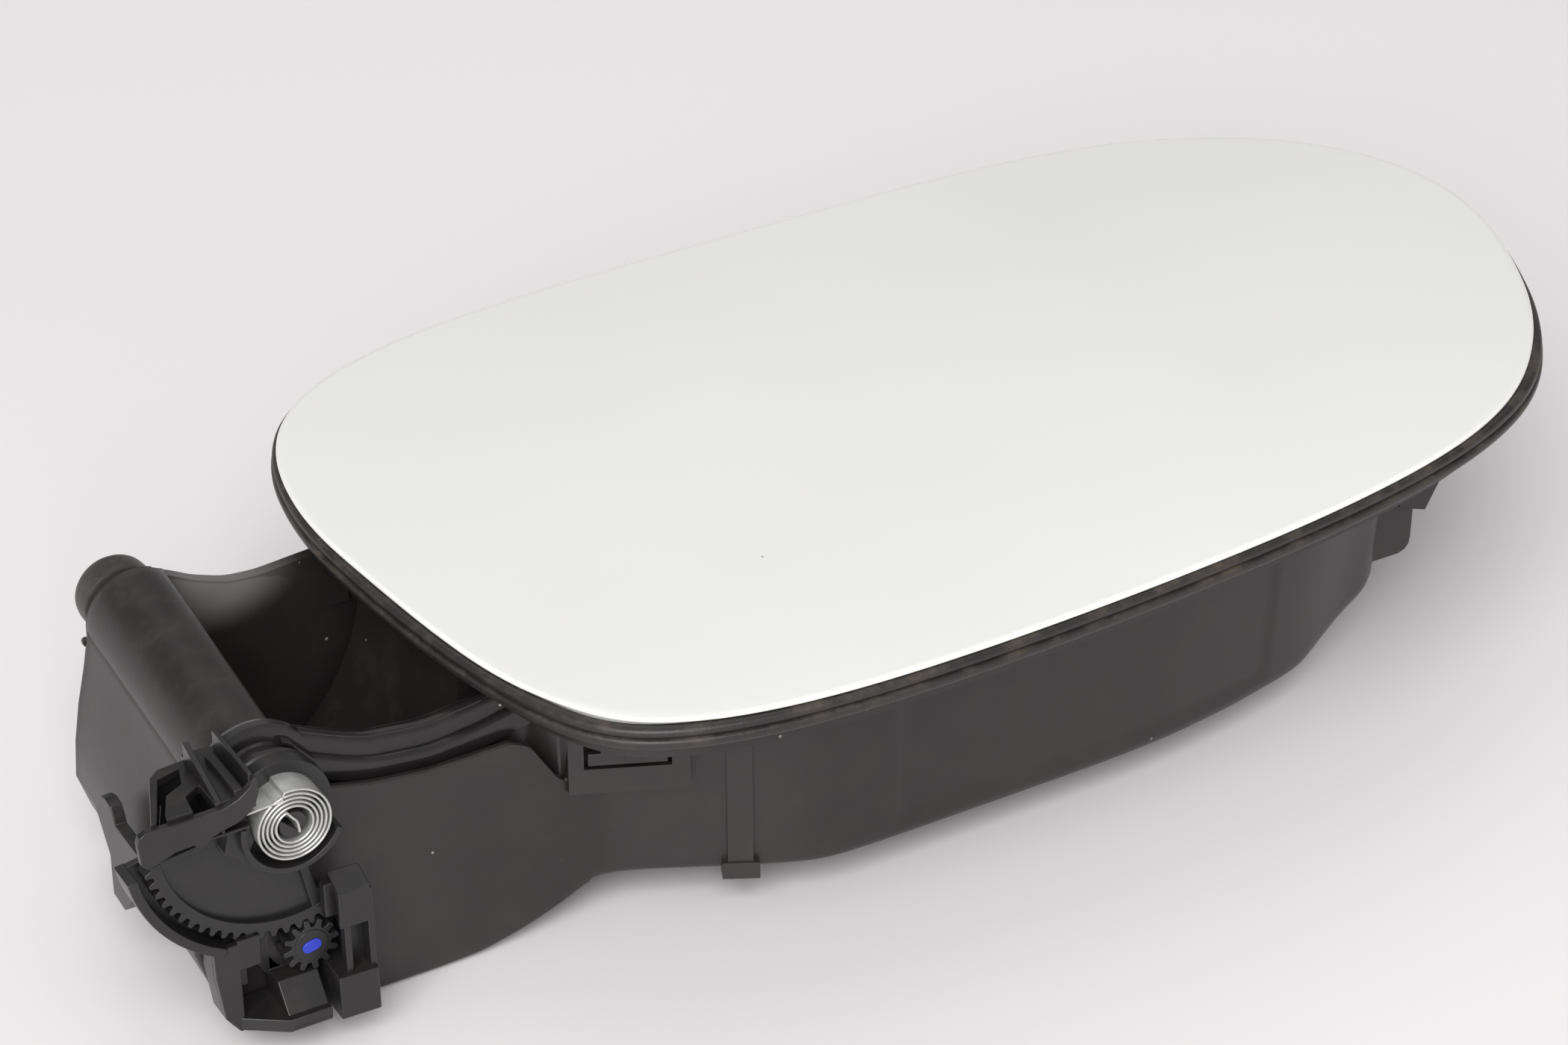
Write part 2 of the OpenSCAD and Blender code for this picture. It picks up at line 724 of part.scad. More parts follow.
// The domed cap that carries the shaft's far end, set off from the hood by its stem
module far_bearing_cap() {
    cap_l = 6.4;
    cap_r = 8.7;
    stem_r = 6.4;
    stem_l = 2.6;
    dome = 2;
    color(charcoal)
        stand()
            translate([hinge_x, far_y, hinge_z])
                rotate([-90, 0, 0])
                    rotate_extrude()
                        difference() {
                            union() {
                                translate([0, -wall - 0.6])
                                    square([shaft_r + 1.48, wall + 1]);
                                square([stem_r, stem_l + 0.1]);
                                translate([0, stem_l])
                                    square([cap_r, cap_l - dome - stem_l]);
                                translate([0, cap_l - dome - eps])
                                    square([cap_r - dome, dome + eps]);
                                translate([cap_r - dome, cap_l - dome])
                                    circle(r = dome);
                            }
                            translate([-1, -wall - 1])
                                square([shaft_r + run_gap + 1, wall + 4.5]);
                            translate([-10, -20])
                                square([10, 50]);
                        }
}

// The strip of the spiral spring, from the slotted post to the bracket
module spiral_spring() {
    r0 = post_r + 0.55;
    r1 = coil_r - strip_t / 2;
    end_a = 100;
    steps = round(coil_turns * 22);
    path = concat(
        [[0.15, 0.15] * r0],
        [for (i = [0 : steps]) let (
            a = end_a - (1 - i / steps) * coil_turns * 360, r = r0 + (r1 - r0) * i / steps)
            r * [cos(a), sin(a)]],
        [[-4.4, r1 - 0.2], [-7.6, r1 - 1.9], [-9.6, r1 - 3.2]]);
    n = len(path);
    side = function (i, d) let (
        t = path[min(i + 1, n - 1)] - path[max(i - 1, 0)], u = t / norm(t)) path[i] + d * [-u[1], u[0]];
    color(steel)
        stand()
            along_y(spring_y0, spring_y1)
                translate([hinge_x, hinge_z])
                    polygon(concat([for (i = [1 : n - 1]) side(i, strip_t / 2)],
                        [for (i = [n - 1 : -1 : 1]) side(i, -strip_t / 2)]));
}

// The face of the pocket's left wall at the height z
function side_x(z) = hinge_x - hood_r
    + (bend_x - hinge_x + hood_r) * (hinge_z - z) / (hinge_z - bend_z);

// The bracket over the spring: a front frame, a top plate with two windows and fins
module spring_bracket() {
    x0 = bracket_x0;
    x1 = bracket_x1;
    top = bracket_top;
    y1 = pocket_y0 + 1;
    ear_low = hinge_z - 5;
    color(black)
        stand()
            difference() {
                union() {
                    along_y(bracket_y0 - plate_t, bracket_y0)
                        polygon([[x0, top - 8], [x0, top - 3.4], [x0 + 1.6, top - 2], [x0 + 16, top - 0.4],
                            [x0 + 19, top + 1.6], [x0 + 20, top - 0.6], [x0 + 18.6, top - 3.4],
                            [x0 + 16.4, top - 5.6], [x0 + 12.6, top - 6.2], [x0 + 10.6, top - 8.2],
                            [x0 + 9, top - 7.8], [x0 + 2, top - 9]]);
                    along_y(bracket_y0 - eps, y1)
                        polygon([[x0 + 2, top - 2.2], [x0 + 15, top - 0.6], [x0 + 15, top - 2.2],
                            [x0 + 2, top - 3.8]]);
                    for (x = [x0 + 8, x0 + 13.4])
                        block(x, x + 1.6, bracket_y0 + 6, y1 + 3, top - 3, top + 2.4);
                    block(x0 + 2, x0 + 3.6, bracket_y0 - eps, near_y, top - 12, top - 2.8);
                    // The ear that is welded to the pocket's left wall
                    along_y(pocket_y0 - wall, y1)
                        polygon([[side_x(hinge_z), hinge_z], [side_x(ear_low), ear_low],
                            [side_x(ear_low) - 2.4, ear_low], [x0 + 12.6, top - 2.6],
                            [x0 + 15, top - 1.4], [side_x(hinge_z), top - 4]]);
                }
                for (w = [[x0 + 4.4, x0 + 7.4], [x0 + 10.2, x0 + 12.8]])
                    block(w[0], w[1], bracket_y0 + 2, y1 - 3, top - 6, top + 4);
            }
}

// The holder that carries the damper and guards the gears
module damper_holder() {
    base_y = near_y;
    front_y = near_y - 10.3;
    leg_x = pinion_x - 14.4;
    leg_y = near_y - 5.6;
    column_x0 = pinion_x - 6.2;
    column_x1 = pinion_x + 1.6;
    clip_x = pinion_x + 4;
    clip_x1 = pinion_x + 9.2;
    low_z = pinion_z - 11.8;
    rail_t = 1.6;
    guard_r = sector_r + 3.5;
    color(black)
        stand()
            difference() {
                union() {
                    // The seat of the damper and the bar from it to the left leg
                    disc_y(pinion_x, pinion_z, damper_r + 1.6, base_y - 2, base_y);
                    block(leg_x, pinion_x - 4, base_y - 2, base_y, pinion_z - 1.4, pinion_z + 3);
                    block(leg_x, leg_x + rail_t, leg_y, base_y, low_z, pinion_z + 4);
                    // The sill with its slanted front, and the middle column on it
                    plan(low_z, low_z + 2)
                        polygon([[leg_x, leg_y], [column_x0 - 0.4, front_y], [column_x1, front_y],
                            [column_x1, base_y], [leg_x, base_y]]);
                    block(column_x0, pinion_x + 0.3, front_y, base_y - 1.9, low_z + 1, pinion_z - 5.1);
                    // The foot block under the clip frame
                    block(column_x1 - 0.1, clip_x1, front_y - 0.6, base_y, low_z - 0.6, low_z + 5.6);
                    block(clip_x + 1.2, clip_x1 - 0.2, front_y + 2.8, base_y, low_z + 5, pinion_z + 3.8);
                    // The clip frame: two posts, a cross plate and the top block
                    for (x = [clip_x, clip_x1 - rail_t])
                        block(x, x + rail_t, front_y + 0.2, front_y + 2.9, low_z + 5, pinion_z + 12.4);
                    block(clip_x, clip_x1, front_y + 0.2, front_y + 2.2, pinion_z + 4.8, pinion_z + 12);
                    block(clip_x + 0.2, clip_x1, front_y, front_y + 3.2, pinion_z + 11.2, pinion_z + 17.4);
                    // The curved guard outside the sector's teeth
                    hinge_arc(sector_r + 1.9, guard_r, 190, 244, sector_y0 - 1, base_y - eps);
                    hinge_arc(sector_r - 6, guard_r, 190, 268, base_y - 1.4, base_y);
                    // The hooked bar that runs back beside the pocket's left wall
                    translate([leg_x - 5.3, near_y, hinge_z])
                        rotate([90, 0, 90])
                            linear_extrude(2.8)
                                polygon([[-0.6, -19.5], [-0.6, -15.3], [25.5, -15.1], [25.7, -12.9],
                                    [27.7, -11.3], [30.5, -11.2], [32.5, -12.9], [34.2, -17.5],
                                    [33.5, -18.3], [29.5, -23.9], [29.8, -32], [25, -32.4],
                                    [20.1, -27.4], [18.1, -20.1]]);
                }
                disc_y(pinion_x, pinion_z, damper_r + seat_gap, base_y - 4, base_y + 4);
            }
}

// The round body of the rotary damper
module damper_body() {
    color(charcoal)
        stand()
            difference() {
                disc_y(pinion_x, pinion_z, damper_r, near_y - flange_t, near_y - flange_t + damper_t);
                disc_y(pinion_x, pinion_z, 2 + run_gap, near_y - 10, near_y - flange_t + damper_t - 1.2);
            }
}

// The pinion on the damper's rotor
module damper_pinion() {
    rim = pinion_pitch - gear_root;
    color(charcoal)
        stand()
            difference() {
                union() {
                    along_y(sector_y0, sector_y1)
                        translate([pinion_x, pinion_z])
                            for (i = [0 : pinion_teeth - 1])
                                rotate(180 + mesh_angle + (i + 0.5) * 360 / pinion_teeth)
                                    tooth(pinion_pitch, pinion_teeth);
                    disc_y(pinion_x, pinion_z, rim, sector_y0, sector_y1);
                }
                disc_y(pinion_x, pinion_z, 1.7 + seat_gap, sector_y0 - 1, sector_y1 + 1);
            }
}

// The blue rotor: a stem in the damper's body and a core with flats at its end
module damper_rotor() {
    end_y = near_y - flange_t + damper_t - 1.2;
    color(core_blue)
        stand() {
            disc_y(pinion_x, pinion_z, 2, sector_y1 + 0.05, end_y - 0.1);
            disc_y(pinion_x, pinion_z, 1.7, sector_y0 - 0.5, sector_y1 + 0.1);
        }
}

// The rubber boot around the filler neck, clipped into the bowl's floor
module neck_boot() {
    color(rubber)
        stand()
            translate([neck_x, neck_y, 0])
                rotate_extrude($fn = 144)
                    translate([neck_r, 0])
                        union() {
                            translate([0, floor_z])
                                square([boot_t, depth - bowl_depth + wall + 2]);
                            translate([0, bowl_low])
                                square([boot_t + 1.95, wall]);
                            translate([0, bowl_low + wall])
                                square([boot_t + 5, 2]);
                            translate([0, bowl_low - 2])
                                square([boot_t + 5, 2]);
                        }
}

// Two rubber buffers on the deck that the flap rests on
module bump_stops() {
    color(rubber)
        stand()
            bump_places()
                translate([0, 0, deck_top])
                    cylinder(r = bump_r, h = carrier_low - deck_top - bump_gap);
}

module bump_places() {
    for (y = [-14, 36])
        translate([lock_x - 10, y, 0])
            children();
}

module actuator_screw_places() {
    for (y = [-11, 11])
        translate([lock_x - 14, lock_y + y, 0])
            children();
}

// The lock actuator under the shelf, with a socket for its plug
module lock_actuator() {
    z1 = deck_low;
    z0 = z1 - 11;
    case_x0 = lock_x - 26;
    case_x1 = lock_x - 2;
    pin_z = deck_low - 4.6;
    color(charcoal)
        stand()
            difference() {
                union() {
                    block(case_x0, case_x1, lock_y - 8, lock_y + 8, z0, z1);
                    block(case_x0 + 8, case_x0 + 16, lock_y - 14, lock_y + 14, z1 - 2, z1);
                    block(case_x0 - 6, case_x0 + eps, lock_y - 5, lock_y + 5, z0 + 1, z1 - 2);
                    translate([case_x1 - eps, lock_y, pin_z])
                        rotate([0, 90, 0])
                            cylinder(r = pin_r + 1.4, h = 1.5);
                }
                block(case_x0 - 7, case_x0 - 1, lock_y - 3.8, lock_y + 3.8, z0 + 2.2, z1 - 3.2);
                translate([case_x0 + 4, lock_y, pin_z])
                    rotate([0, 90, 0])
                        cylinder(r = pin_r + run_gap, h = 30);
                actuator_screw_places()
                    translate([0, 0, z1 - 3])
                        cylinder(r = 1.6, h = 4);
            }
}

// The lock pin, drawn back at rest
module lock_pin() {
    pin_z = deck_low - 4.6;
    pin_l = 21.6;
    color(steel)
        stand()
            translate([lock_x - 15 - pin_travel, lock_y, pin_z])
                rotate([0, 90, 0])
                    union() {
                        cylinder(r = pin_r, h = pin_l);
                        translate([0, 0, pin_l - eps])
                            cylinder(r1 = pin_r, r2 = pin_r - 0.8, h = 0.8);
                    }
}

// Two screws that hold the actuator to the shelf
module actuator_screws() {
    color(steel)
        stand()
            actuator_screw_places() {
                translate([0, 0, deck_low - 3.6])
                    cylinder(r = 3, h = 1.6);
                translate([0, 0, deck_low - 2 - eps])
                    cylinder(r = 1.5, h = deck_t + 1.6);
            }
}

flap_skin();
flap_carrier();
hinge_arm();
arm_screws();
hinge_shaft();
gear_sector();
striker();
housing();
rim_seal();
pocket_lip();
near_bush();
far_bearing_cap();
spiral_spring();
spring_bracket();
damper_holder();
damper_body();
damper_pinion();
damper_rotor();
neck_boot();
bump_stops();
lock_actuator();
lock_pin();
actuator_screws();
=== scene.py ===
"""A fuel filler flap assembly on a pale studio floor.

The painted flap, its rubber seal, the moulded tub with its hinge hood, and the spring, toothed sector and
damper at the near end. Lengths are in millimetres in the rim frame: the origin is the middle of the flap at
the height of its rim, X runs along the flap to its free end, Y across it, away from the spring.
"""

import json
import math

import bpy
import bmesh
import numpy as np
from mathutils import Matrix, Vector


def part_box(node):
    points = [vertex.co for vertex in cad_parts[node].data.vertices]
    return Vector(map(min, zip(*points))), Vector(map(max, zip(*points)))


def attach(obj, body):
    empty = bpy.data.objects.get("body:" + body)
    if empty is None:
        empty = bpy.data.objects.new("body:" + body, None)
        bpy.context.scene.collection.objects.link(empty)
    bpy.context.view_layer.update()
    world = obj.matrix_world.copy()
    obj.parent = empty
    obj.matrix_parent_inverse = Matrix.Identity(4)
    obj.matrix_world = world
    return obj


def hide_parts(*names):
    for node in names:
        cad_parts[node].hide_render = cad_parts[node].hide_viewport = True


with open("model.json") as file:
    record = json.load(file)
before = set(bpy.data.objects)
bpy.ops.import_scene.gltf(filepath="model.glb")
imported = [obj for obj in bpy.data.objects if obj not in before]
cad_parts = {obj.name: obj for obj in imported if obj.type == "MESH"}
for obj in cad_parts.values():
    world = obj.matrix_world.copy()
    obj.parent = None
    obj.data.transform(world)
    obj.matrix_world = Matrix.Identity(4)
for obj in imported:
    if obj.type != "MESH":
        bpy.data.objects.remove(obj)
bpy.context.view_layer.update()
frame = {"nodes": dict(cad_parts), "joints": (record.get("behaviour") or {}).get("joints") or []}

# Places taken from the frame, as X and Z of the hinge's and the pinion's lines
JOINT = {j["name"]: j for j in frame["joints"]}
HINGE = HINGE_X, HINGE_Z = -151.6, -12.3
RIM_ORIGIN = np.array(JOINT["flap_hinge"]["pos_m"]) - np.array([HINGE_X, 0, HINGE_Z]) * 1e-3
PINION = PINION_X, PINION_Z = ((np.array(JOINT["damper_spin"]["pos_m"]) - RIM_ORIGIN) * 1e3)[[0, 2]]


def node_range(node, axis):
    """Lowest and highest place of a CAD node along an axis, in the rim frame in millimetres."""
    low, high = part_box(node)
    return (low[axis] - RIM_ORIGIN[axis]) * 1e3, (high[axis] - RIM_ORIGIN[axis]) * 1e3


# The flap's length and width, the pocket's two walls and right end, the tub's wall and its near and far side
# along the pocket, the hood's radius, the turn of the left side, the deck's faces and the tops that meet it
# from below, the hole for the filler neck, the post in the spring, the sector and the pinion, and the
# undersides of the pocket and the bowl
FLAP_L, FLAP_W = 240.0, 147.2
POCKET_NEAR, POCKET_FAR, POCKET_END = -29.3, 20.5, -96.0
WALL, NEAR_Y, FAR_Y = 2.2, -36.1, 22.7
HOOD_R, SKEW = 9.2, 2.4
DECK_TOP, DECK_LOW, UNDER_DECK = -6.1, -8.3, -8.4
NECK_MIDDLE, NECK_R = np.array([2.0, -0.5]), 33.6
POST_R = 2.3
SECTOR_R, SECTOR_TEETH, SECTOR_A0, SECTOR_A1 = 23.1, 66, 188.5, 285.5
PINION_R, PINION_TEETH = 4.2, 12
MESH_ANGLE = math.degrees(math.atan2(PINION_Z - HINGE_Z, PINION_X - HINGE_X)) % 360
SPRING_Y0, SPRING_Y1 = node_range("spiral_spring", 1)
SECTOR_Y0, SECTOR_Y1 = node_range("damper_pinion", 1)
BELLY_Z, BOWL_Z = node_range("neck_boot", 2)[0], -49.6


# Curves
def closed_spline(knots, count):
    """Points of the smooth closed curve through the knots: a periodic cubic spline, whose second
    derivatives solve the cyclic system M[i-1] + 4 M[i] + M[i+1] = 6 (K[i-1] - 2 K[i] + K[i+1])."""
    k = np.asarray(knots, float)
    n = len(k)
    one = np.eye(n)
    system = 4 * one + np.roll(one, 1, 1) + np.roll(one, -1, 1)
    second = np.linalg.solve(system, 6 * (np.roll(k, 1, 0) - 2 * k + np.roll(k, -1, 0)))
    u = np.arange(count) * n / count
    i = u.astype(int)
    t = (u - i)[:, None]
    a, b = k[i], k[(i + 1) % n]
    ma, mb = second[i], second[(i + 1) % n]
    return a + (b - a) * t - t * (1 - t) * ((2 - t) * ma + (1 + t) * mb) / 6


def spread_evenly(points, count):
    """The closed curve through the points, sampled again at equal steps of its length."""
    p = np.vstack([points, points[:1]])
    s = np.concatenate([[0], np.cumsum(np.linalg.norm(np.diff(p, axis=0), axis=1))])
    u = np.arange(count) * s[-1] / count
    return np.stack([np.interp(u, s, p[:, c]) for c in range(p.shape[1])], 1)


def outward(loop):
    """Unit normals of an anticlockwise closed loop, to its right."""
    t = np.roll(loop, -1, 0) - np.roll(loop, 1, 0)
    t /= np.linalg.norm(t, axis=1)[:, None]
    return np.stack([t[:, 1], -t[:, 0]], 1)


FLAP_FORM = [(-0.95, -0.56), (-0.80, -0.92), (-0.49, -1.00), (0.03, -0.96), (0.53, -0.815),
             (0.82, -0.47), (1.00, 0.15), (0.93, 0.64), (0.72, 0.89), (0.39, 0.995),
             (-0.21, 0.985), (-0.55, 0.95), (-0.83, 0.81), (-0.995, 0.33)]
RIM_LOOP = spread_evenly(closed_spline(np.array(FLAP_FORM) * [FLAP_L / 2, FLAP_W / 2], 1400), 420)
RIM_OUT = outward(RIM_LOOP)


def polar(centre, a, r):
    """Points at the angles a, in degrees, and the radii r about a line along Y."""
    return np.stack([centre[0] + r * np.cos(np.radians(a)), centre[1] + r * np.sin(np.radians(a))], 1)


def arc(centre, r, a0, a1, count):
    """Points of a circle's arc in X and Z, from angle a0 to a1 in degrees."""
    return polar(centre, np.linspace(a0, a1, count), r)


def eased(share):
    """The share, held between 0 and 1, with a soft start and end: s^2 (3 - 2 s)."""
    s = np.clip(share, 0, 1)
    return s * s * (3 - 2 * s)


# Meshes
def quads(rows, cols, close_rows=False, close_cols=False):
    """Faces between neighbours (i, j), (i, j+1), (i+1, j+1), (i+1, j) of a grid of points."""
    i, j = np.meshgrid(np.arange(rows if close_rows else rows - 1),
                       np.arange(cols if close_cols else cols - 1), indexing="ij")
    i, j = i.ravel(), j.ravel()
    i2, j2 = (i + 1) % rows, (j + 1) % cols
    return np.stack([i * cols + j, i * cols + j2, i2 * cols + j2, i2 * cols + j], 1).tolist()


def surface(grid, close_rows=False, close_cols=False, cap_rows=False):
    """One part of a piece: a grid of points, and faces. cap_rows closes the first and last row."""
    rows, cols = grid.shape[:2]
    faces = quads(rows, cols, close_rows, close_cols)
    if cap_rows:
        faces += [list(range(cols)), [(rows - 1) * cols + c for c in range(cols)]]
    return grid.reshape(-1, 3), faces


def loft(rows):
    """A solid through rows of points, each a closed loop, with a face on the first and on the last."""
    return surface(np.array(rows, float), close_cols=True, cap_rows=True)


def prism(outline, low, high, axis):
    """A solid from low to high along an axis, 0 to 2, whose section in the other two is the outline."""
    section = np.asarray(outline, float)
    return loft([np.insert(section, axis, place, axis=1) for place in (low, high)])


def sideways(outline, x0, x1):
    """A solid from x0 to x1 whose section in Y and Z is the outline."""
    return prism(outline, x0, x1, 0)


def across(outline, y0, y1):
    """A solid from y0 to y1 whose section in X and Z is the outline."""
    return prism(outline, y0, y1, 1)


def upright(outline, z0, z1):
    """A solid from z0 to z1 whose section in X and Y is the outline."""
    return prism(outline, z0, z1, 2)


def block(x0, x1, y0, y1, z0, z1):
    """A box between two places on each axis."""
    return upright([(x0, y0), (x1, y0), (x1, y1), (x0, y1)], z0, z1)


def turned(profile, centre, steps=72, capped=False):
    """A solid of revolution about a line along Y. The profile's points are (radius, y): a closed outline or,
    when capped, an open one that starts and ends at the line."""
    p = np.asarray(profile, float)
    a = np.radians(np.arange(steps) * 360 / steps)
    r, y = p[:, :1], p[:, 1:]
    grid = np.stack([centre[0] + r * np.cos(a), y + 0 * a, centre[1] + r * np.sin(a)], 2)
    return surface(grid, close_rows=not capped, close_cols=True, cap_rows=capped)


def windowed(xs, ys, keep, to_space):
    """A plate of cells between the lines xs and ys. keep holds a row of 0 and 1 for each gap in ys.
    to_space(x, y, side) gives the points of its two sides, side 0 and side 1."""
    keep = np.pad(np.asarray(keep, bool), 1)
    gx, gy = np.meshgrid(np.asarray(xs, float), np.asarray(ys, float))
    points = np.concatenate([to_space(gx.ravel(), gy.ravel(), side) for side in (0, 1)])
    wide, back = len(xs), gx.size
    faces = []
    for r, c in np.argwhere(keep).tolist():
        a = (r - 1) * wide + c - 1
        b, d, e = a + 1, a + wide, a + wide + 1
        faces += [[a, b, e, d], [a + back, d + back, e + back, b + back]]
        for p, q, beside in ((a, b, keep[r - 1, c]), (b, e, keep[r, c + 1]), (e, d, keep[r + 1, c]),
                             (d, a, keep[r, c - 1])):
            if not beside:
                faces.append([q, p, p + back, q + back])
    return points, faces


def piece(name, parts, material, body, replaces=(), bevel=0.0, angle=35):
    """A mesh object of several parts, in metres in the frame. Doubles are merged, faces point outwards,
    edges sharper than the angle stay sharp, and a bevel in millimetres rounds them."""
    points, faces, start = [], [], 0
    for p, f in parts:
        points.append(p)
        faces += [[v + start for v in face] for face in f]
        start += len(p)
    mesh = bpy.data.meshes.new(name)
    mesh.from_pydata((np.vstack(points) * 1e-3 + RIM_ORIGIN).tolist(), [], faces)
    bm = bmesh.new()
    bm.from_mesh(mesh)
    bmesh.ops.remove_doubles(bm, verts=bm.verts, dist=2e-6)
    loose = [v for v in bm.verts if not v.link_faces]
    bmesh.ops.delete(bm, geom=loose, context="VERTS")
    bmesh.ops.recalc_face_normals(bm, faces=bm.faces)
    bm.to_mesh(mesh)
    bm.free()
    mesh.shade_smooth()
    mesh.set_sharp_from_angle(angle=math.radians(angle))
    made = bpy.data.objects.new(name, mesh)
    bpy.context.scene.collection.objects.link(made)
    mesh.materials.append(material)
    if bevel:
        rounding = made.modifiers.new("rounded edges", "BEVEL")
        rounding.width = bevel * 1e-3
        rounding.segments = 2
        rounding.limit_method = "ANGLE"
        rounding.angle_limit = math.radians(angle)
        rounding.harden_normals = True
    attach(made, body)
    if replaces:
        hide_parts(*replaces)


# Materials
class Nodes:
    """Adds nodes to a tree from left to right and joins them."""

    def __init__(self, tree):
        self.tree = tree
        self.count = 0

    def add(self, kind, inputs=(), **settings):
        """A node with its settings, and a value or another node's output at each input that is named."""
        node = self.tree.nodes.new(kind)
        node.location = (self.count * 180, -(self.count % 3) * 220)
        self.count += 1
        for key, value in settings.items():
            setattr(node, key, value)
        for key, value in dict(inputs).items():
            if hasattr(value, "is_output"):
                self.join(value, node.inputs[key])
            else:
                node.inputs[key].default_value = value
        return node

    def join(self, output, socket):
        """Feeds an output into a socket."""
        self.tree.links.new(output, socket)

    def math(self, operation, a, b=0.0, clamp=False):
        """Arithmetic on two values."""
        return self.add("ShaderNodeMath", {0: a, 1: b}, operation=operation, use_clamp=clamp).outputs[0]

    def vector(self, operation, inputs, result=0):
        """Arithmetic on vectors: result 0 is the vector it gives, result 1 the value."""
        return self.add("ShaderNodeVectorMath", inputs, operation=operation).outputs[result]

    def step(self, value, low, high, to_low=0.0, to_high=1.0):
        """The value eased from low to high into the range from to_low to to_high."""
        return self.add("ShaderNodeMapRange", {0: value, 1: low, 2: high, 3: to_low, 4: to_high},
                        interpolation_type="SMOOTHSTEP").outputs[0]

    def noise(self, place, scale, detail=2.0, roughness=0.5):
        """Soft noise about 0.5."""
        return self.add("ShaderNodeTexNoise", {"Vector": place, "Scale": scale, "Detail": detail,
                                               "Roughness": roughness}).outputs["Fac"]

    def mix(self, share, a, b):
        """Colour a where the share is 0 and b where it is 1."""
        return self.add("ShaderNodeMix", {0: share, 6: a, 7: b}, data_type="RGBA").outputs[2]


def group(name, inputs, outputs):
    """An empty node group with named sockets: (name, kind, value) in, (name, kind) out."""
    tree = bpy.data.node_groups.new(name, "ShaderNodeTree")
    for label, kind, value in inputs:
        socket = tree.interface.new_socket(label, in_out="INPUT", socket_type=kind)
        socket.default_value = value
    for label, kind in outputs:
        tree.interface.new_socket(label, in_out="OUTPUT", socket_type=kind)
    return tree


def new_material(name):
    """A material, the sockets of its Principled node, and a Nodes for its tree."""
    material = bpy.data.materials.new(name)
    material.use_nodes = True
    return material, material.node_tree.nodes["Principled BSDF"].inputs, Nodes(material.node_tree)


FLOAT, COLOUR = "NodeSocketFloat", "NodeSocketColor"


def moulded_surface():
    """Moulded plastic or rubber: broad colour drift, dust that settles on faces turned up, a few pale
    specks, and a fine grain as height."""
    tree = group("moulded_surface",
                 [("Base", COLOUR, (0.03, 0.03, 0.03, 1)), ("Dust colour", COLOUR, (0.2, 0.17, 0.14, 1)),
                  ("Dust", FLOAT, 0.2), ("Specks", FLOAT, 0.3), ("Roughness", FLOAT, 0.4),
                  ("Grain", FLOAT, 900.0)],
                 [("Colour", COLOUR), ("Roughness", FLOAT), ("Height", FLOAT)])
    n = Nodes(tree)
    given = n.add("NodeGroupInput").outputs
    out = n.add("NodeGroupOutput").inputs
    place = n.add("ShaderNodeTexCoord").outputs
    where = place["Object"]
    up = n.add("ShaderNodeSeparateXYZ", {0: place["Normal"]}).outputs[2]
    drift = n.noise(where, 38.0, 3.0, 0.6)
    shade = n.step(drift, 0.3, 0.7, 0.9, 1.12)
    shaded = n.vector("SCALE", {0: given["Base"], 3: shade})
    settle = n.math("MULTIPLY", n.step(up, -0.2, 1.0, 0.25, 1.0),
                    n.step(n.noise(where, 150.0, 5.0, 0.7), 0.42, 0.75))
    dust = n.math("MULTIPLY", settle, given["Dust"], clamp=True)
    dusty = n.mix(dust, shaded, given["Dust colour"])
    cells = n.add("ShaderNodeTexVoronoi", {"Vector": where, "Scale": 260.0}).outputs
    seed = n.add("ShaderNodeSeparateColor", {0: cells["Color"]}).outputs[0]
    rare = n.math("GREATER_THAN", seed, 0.9)
    dot = n.math("MULTIPLY", n.step(cells["Distance"], 0.05, 0.09, 1.0, 0.0), rare)
    speck = n.math("MULTIPLY", dot, given["Specks"], clamp=True)
    n.join(n.mix(speck, dusty, (0.5, 0.46, 0.4, 1)), out["Colour"])
    rough = n.math("ADD", given["Roughness"], n.step(drift, 0.3, 0.7, -0.015, 0.02))
    n.join(n.math("ADD", rough, n.math("MULTIPLY", dust, 0.5), clamp=True), out["Roughness"])
    grain = n.add("ShaderNodeTexNoise", {"Vector": where, "Scale": given["Grain"], "Detail": 2.0})
    n.join(grain.outputs["Fac"], out["Height"])
    return tree


MOULDED = moulded_surface()


def moulded(name, base, roughness, dust, specks, bump, grain=900.0, dust_colour=(0.16, 0.13, 0.10)):
    """A plastic or rubber finish with the moulded surface's colour, roughness and grain."""
    material, shader, n = new_material(name)
    values = {"Base": (*base, 1), "Dust colour": (*dust_colour, 1), "Dust": dust, "Specks": specks,
              "Roughness": roughness, "Grain": grain}
    detail = n.add("ShaderNodeGroup", values, node_tree=MOULDED).outputs
    n.join(detail["Colour"], shader["Base Color"])
    n.join(detail["Roughness"], shader["Roughness"])
    relief = n.add("ShaderNodeBump", {"Strength": bump, "Distance": 0.0004, "Height": detail["Height"]})
    n.join(relief.outputs[0], shader["Normal"])
    return material


def black_plastic(name):
    """The housing's black plastic."""
    return moulded(name, (0.0195, 0.0172, 0.0166), 0.37, dust=0.10, specks=0.5, bump=0.05)


def tub_plastic_painted_sheen():
    """The housing's plastic with a painted sheen: a lighter patch on the pocket's far wall beside the hood's
    mouth, painted where light is caught there. The patch fades out with the distance from its middle, in
    half-widths of 16, 12 and 9 mm."""
    material = black_plastic("tub_plastic_painted_sheen")
    n = Nodes(material.node_tree)
    # The painted sheen: light caught on the far wall, painted as a lighter patch about this middle
    middle = RIM_ORIGIN + np.array([-136.5, POCKET_FAR, -10.0]) * 1e-3
    away = n.vector("SUBTRACT", {0: n.add("ShaderNodeTexCoord").outputs["Object"], 1: tuple(middle)})
    away = n.vector("MULTIPLY", {0: away, 1: (62.0, 83.0, 111.0)})
    share = n.step(n.vector("LENGTH", {0: away}, 1), 0.25, 1.05, 0.8, 0.0)
    colour = material.node_tree.nodes["Principled BSDF"].inputs["Base Color"]
    # Painted reflection: the base colour turns pale grey over the patch
    n.join(n.mix(share, colour.links[0].from_socket, (0.17, 0.16, 0.157, 1)), colour)
    return material


